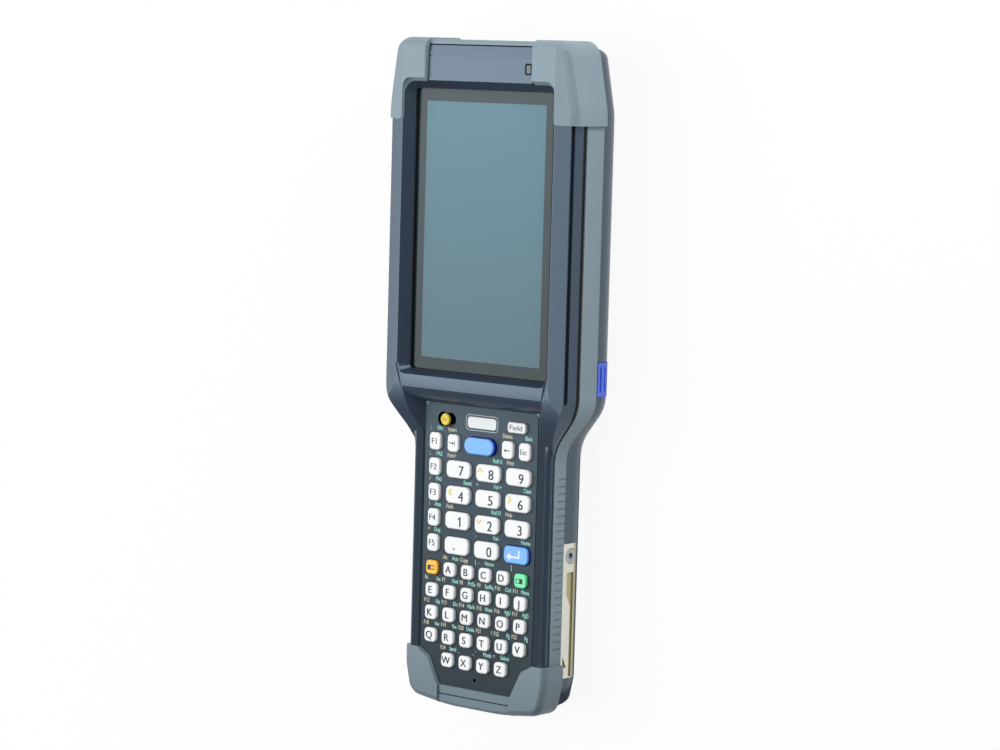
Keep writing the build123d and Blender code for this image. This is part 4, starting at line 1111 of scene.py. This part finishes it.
class TERMINAL_OT_stage(bpy.types.Operator):
    """Floor, lamps, world and camera."""

    bl_idname = "terminal.stage"
    bl_label = "Stage"

    def execute(self, context):
        sizes = context.scene.terminal_stage
        floor = add_floor(sizes.floor_size)
        light_world(context.scene, sizes.world_level)
        add_lamp("key_lamp", KEY_LAMP_PLACE, sizes.key_power, KEY_LAMP_SIZE)
        add_lamp("fill_lamp", FILL_LAMP_PLACE, sizes.fill_power, FILL_LAMP_SIZE)
        add_camera(context.scene)
        return {"FINISHED"}


def add_floor(size):
    """Pale floor that reads white to the camera, keeps a soft shadow and is clear from below."""
    fresh()
    bpy.ops.mesh.primitive_plane_add(size=size, location=(0, 0, CAD_BOX[0].z - FLOOR_GAP))
    floor = bpy.context.object
    floor.name = "floor"
    settle(floor)
    material, tree, shader = start_material("pale_floor", Base_Color=linear("#F4F4F4"), Roughness=0.9)
    white = add_node(tree, "Emission", {"Color": WHITE, "Strength": 1.0}).outputs[0]
    ray = add_node(tree, "LightPath").outputs
    either = {0: ray["Is Camera Ray"], 1: ray["Is Glossy Ray"]}
    seen = add_node(tree, "Math", {"operation": "MAXIMUM"}, either).outputs[0]
    part = {"operation": "MULTIPLY", 1: FLOOR_WHITE}
    share = add_node(tree, "Math", part, {0: seen}).outputs[0]
    above = add_node(tree, "MixShader", None, {0: share, 1: shader.outputs[0], 2: white}).outputs[0]
    clear = add_node(tree, "BsdfTransparent").outputs[0]
    under = add_node(tree, "NewGeometry").outputs["Backfacing"]
    both = add_node(tree, "MixShader", None, {0: under, 1: above, 2: clear}).outputs[0]
    tree.links.new(both, tree.nodes["Material Output"].inputs["Surface"])
    floor.data.materials.append(material)
    return floor


def light_world(scene, level):
    """Even world light that the camera sees as white."""
    world = bpy.data.worlds.new("studio")
    scene.world = world
    world.use_nodes = True
    tree = world.node_tree
    even = tree.nodes["Background"]
    even.inputs["Color"].default_value = WHITE
    even.inputs["Strength"].default_value = level
    white = add_node(tree, "Background", {"Color": WHITE, "Strength": 1.0})
    seen = add_node(tree, "LightPath").outputs["Is Camera Ray"]
    light = {0: seen, 1: even.outputs[0], 2: white.outputs[0]}
    mix = add_node(tree, "MixShader", None, light)
    tree.links.new(mix.outputs[0], tree.nodes["World Output"].inputs["Surface"])


def add_lamp(name, place, power, size):
    """Soft box that faces the terminal."""
    fresh()
    turn = (-Vector(place)).to_track_quat("-Z", "Y").to_euler()
    bpy.ops.object.light_add(type="AREA", location=place, rotation=turn)
    lamp = bpy.context.object
    lamp.name = name
    lamp.data.energy = power
    lamp.data.shape = "RECTANGLE"
    lamp.data.size = size[0]
    lamp.data.size_y = size[1]


def add_camera(scene):
    """Camera that looks down on the terminal from its right."""
    fresh()
    bpy.ops.object.camera_add()
    camera = bpy.context.object
    camera.name = "camera_main"
    back = CAMERA_RIGHT.cross(CAMERA_UP)
    turn = Matrix((CAMERA_RIGHT, CAMERA_UP, back)).transposed()
    camera.matrix_world = Matrix.Translation(CAMERA_PLACE) @ turn.to_4x4()
    camera.data.sensor_width = SENSOR_WIDTH
    camera.data.lens = CAMERA_LENS
    camera.data.clip_start = 0.01
    scene.camera = camera
    scene.view_settings.view_transform = "Standard"


class TERMINAL_PT_panel(bpy.types.Panel):
    """Lists the steps that build the terminal's looks."""

    bl_label = "Barcode Terminal"
    bl_space_type = "VIEW_3D"
    bl_region_type = "UI"
    bl_category = "Terminal"

    def draw(self, context):
        for operator in OPERATORS:
            self.layout.operator(operator.bl_idname)


OPERATORS = [
    TERMINAL_OT_housings,
    TERMINAL_OT_display,
    TERMINAL_OT_keys,
    TERMINAL_OT_key_legends,
    TERMINAL_OT_panel_legends,
    TERMINAL_OT_status_light,
    TERMINAL_OT_side_plates,
    TERMINAL_OT_ends_and_back,
    TERMINAL_OT_stage,
]
CLASSES = [TerminalColours, TerminalSizes, TerminalStage, *OPERATORS, TERMINAL_PT_panel]


def register():
    """Register the classes and hang the settings on the scene."""
    for kind in CLASSES:
        bpy.utils.register_class(kind)
    bpy.types.Scene.terminal_colours = bpy.props.PointerProperty(type=TerminalColours)
    bpy.types.Scene.terminal_sizes = bpy.props.PointerProperty(type=TerminalSizes)
    bpy.types.Scene.terminal_stage = bpy.props.PointerProperty(type=TerminalStage)


def unregister():
    """Take the settings off the scene and unregister the classes."""
    del bpy.types.Scene.terminal_stage
    del bpy.types.Scene.terminal_sizes
    del bpy.types.Scene.terminal_colours
    for kind in reversed(CLASSES):
        bpy.utils.unregister_class(kind)


def main():
    """Build the looks step by step."""
    register()
    for operator in OPERATORS:
        group, name = operator.bl_idname.split(".")
        getattr(getattr(bpy.ops, group), name)()


if __name__ == "__main__":
    main()
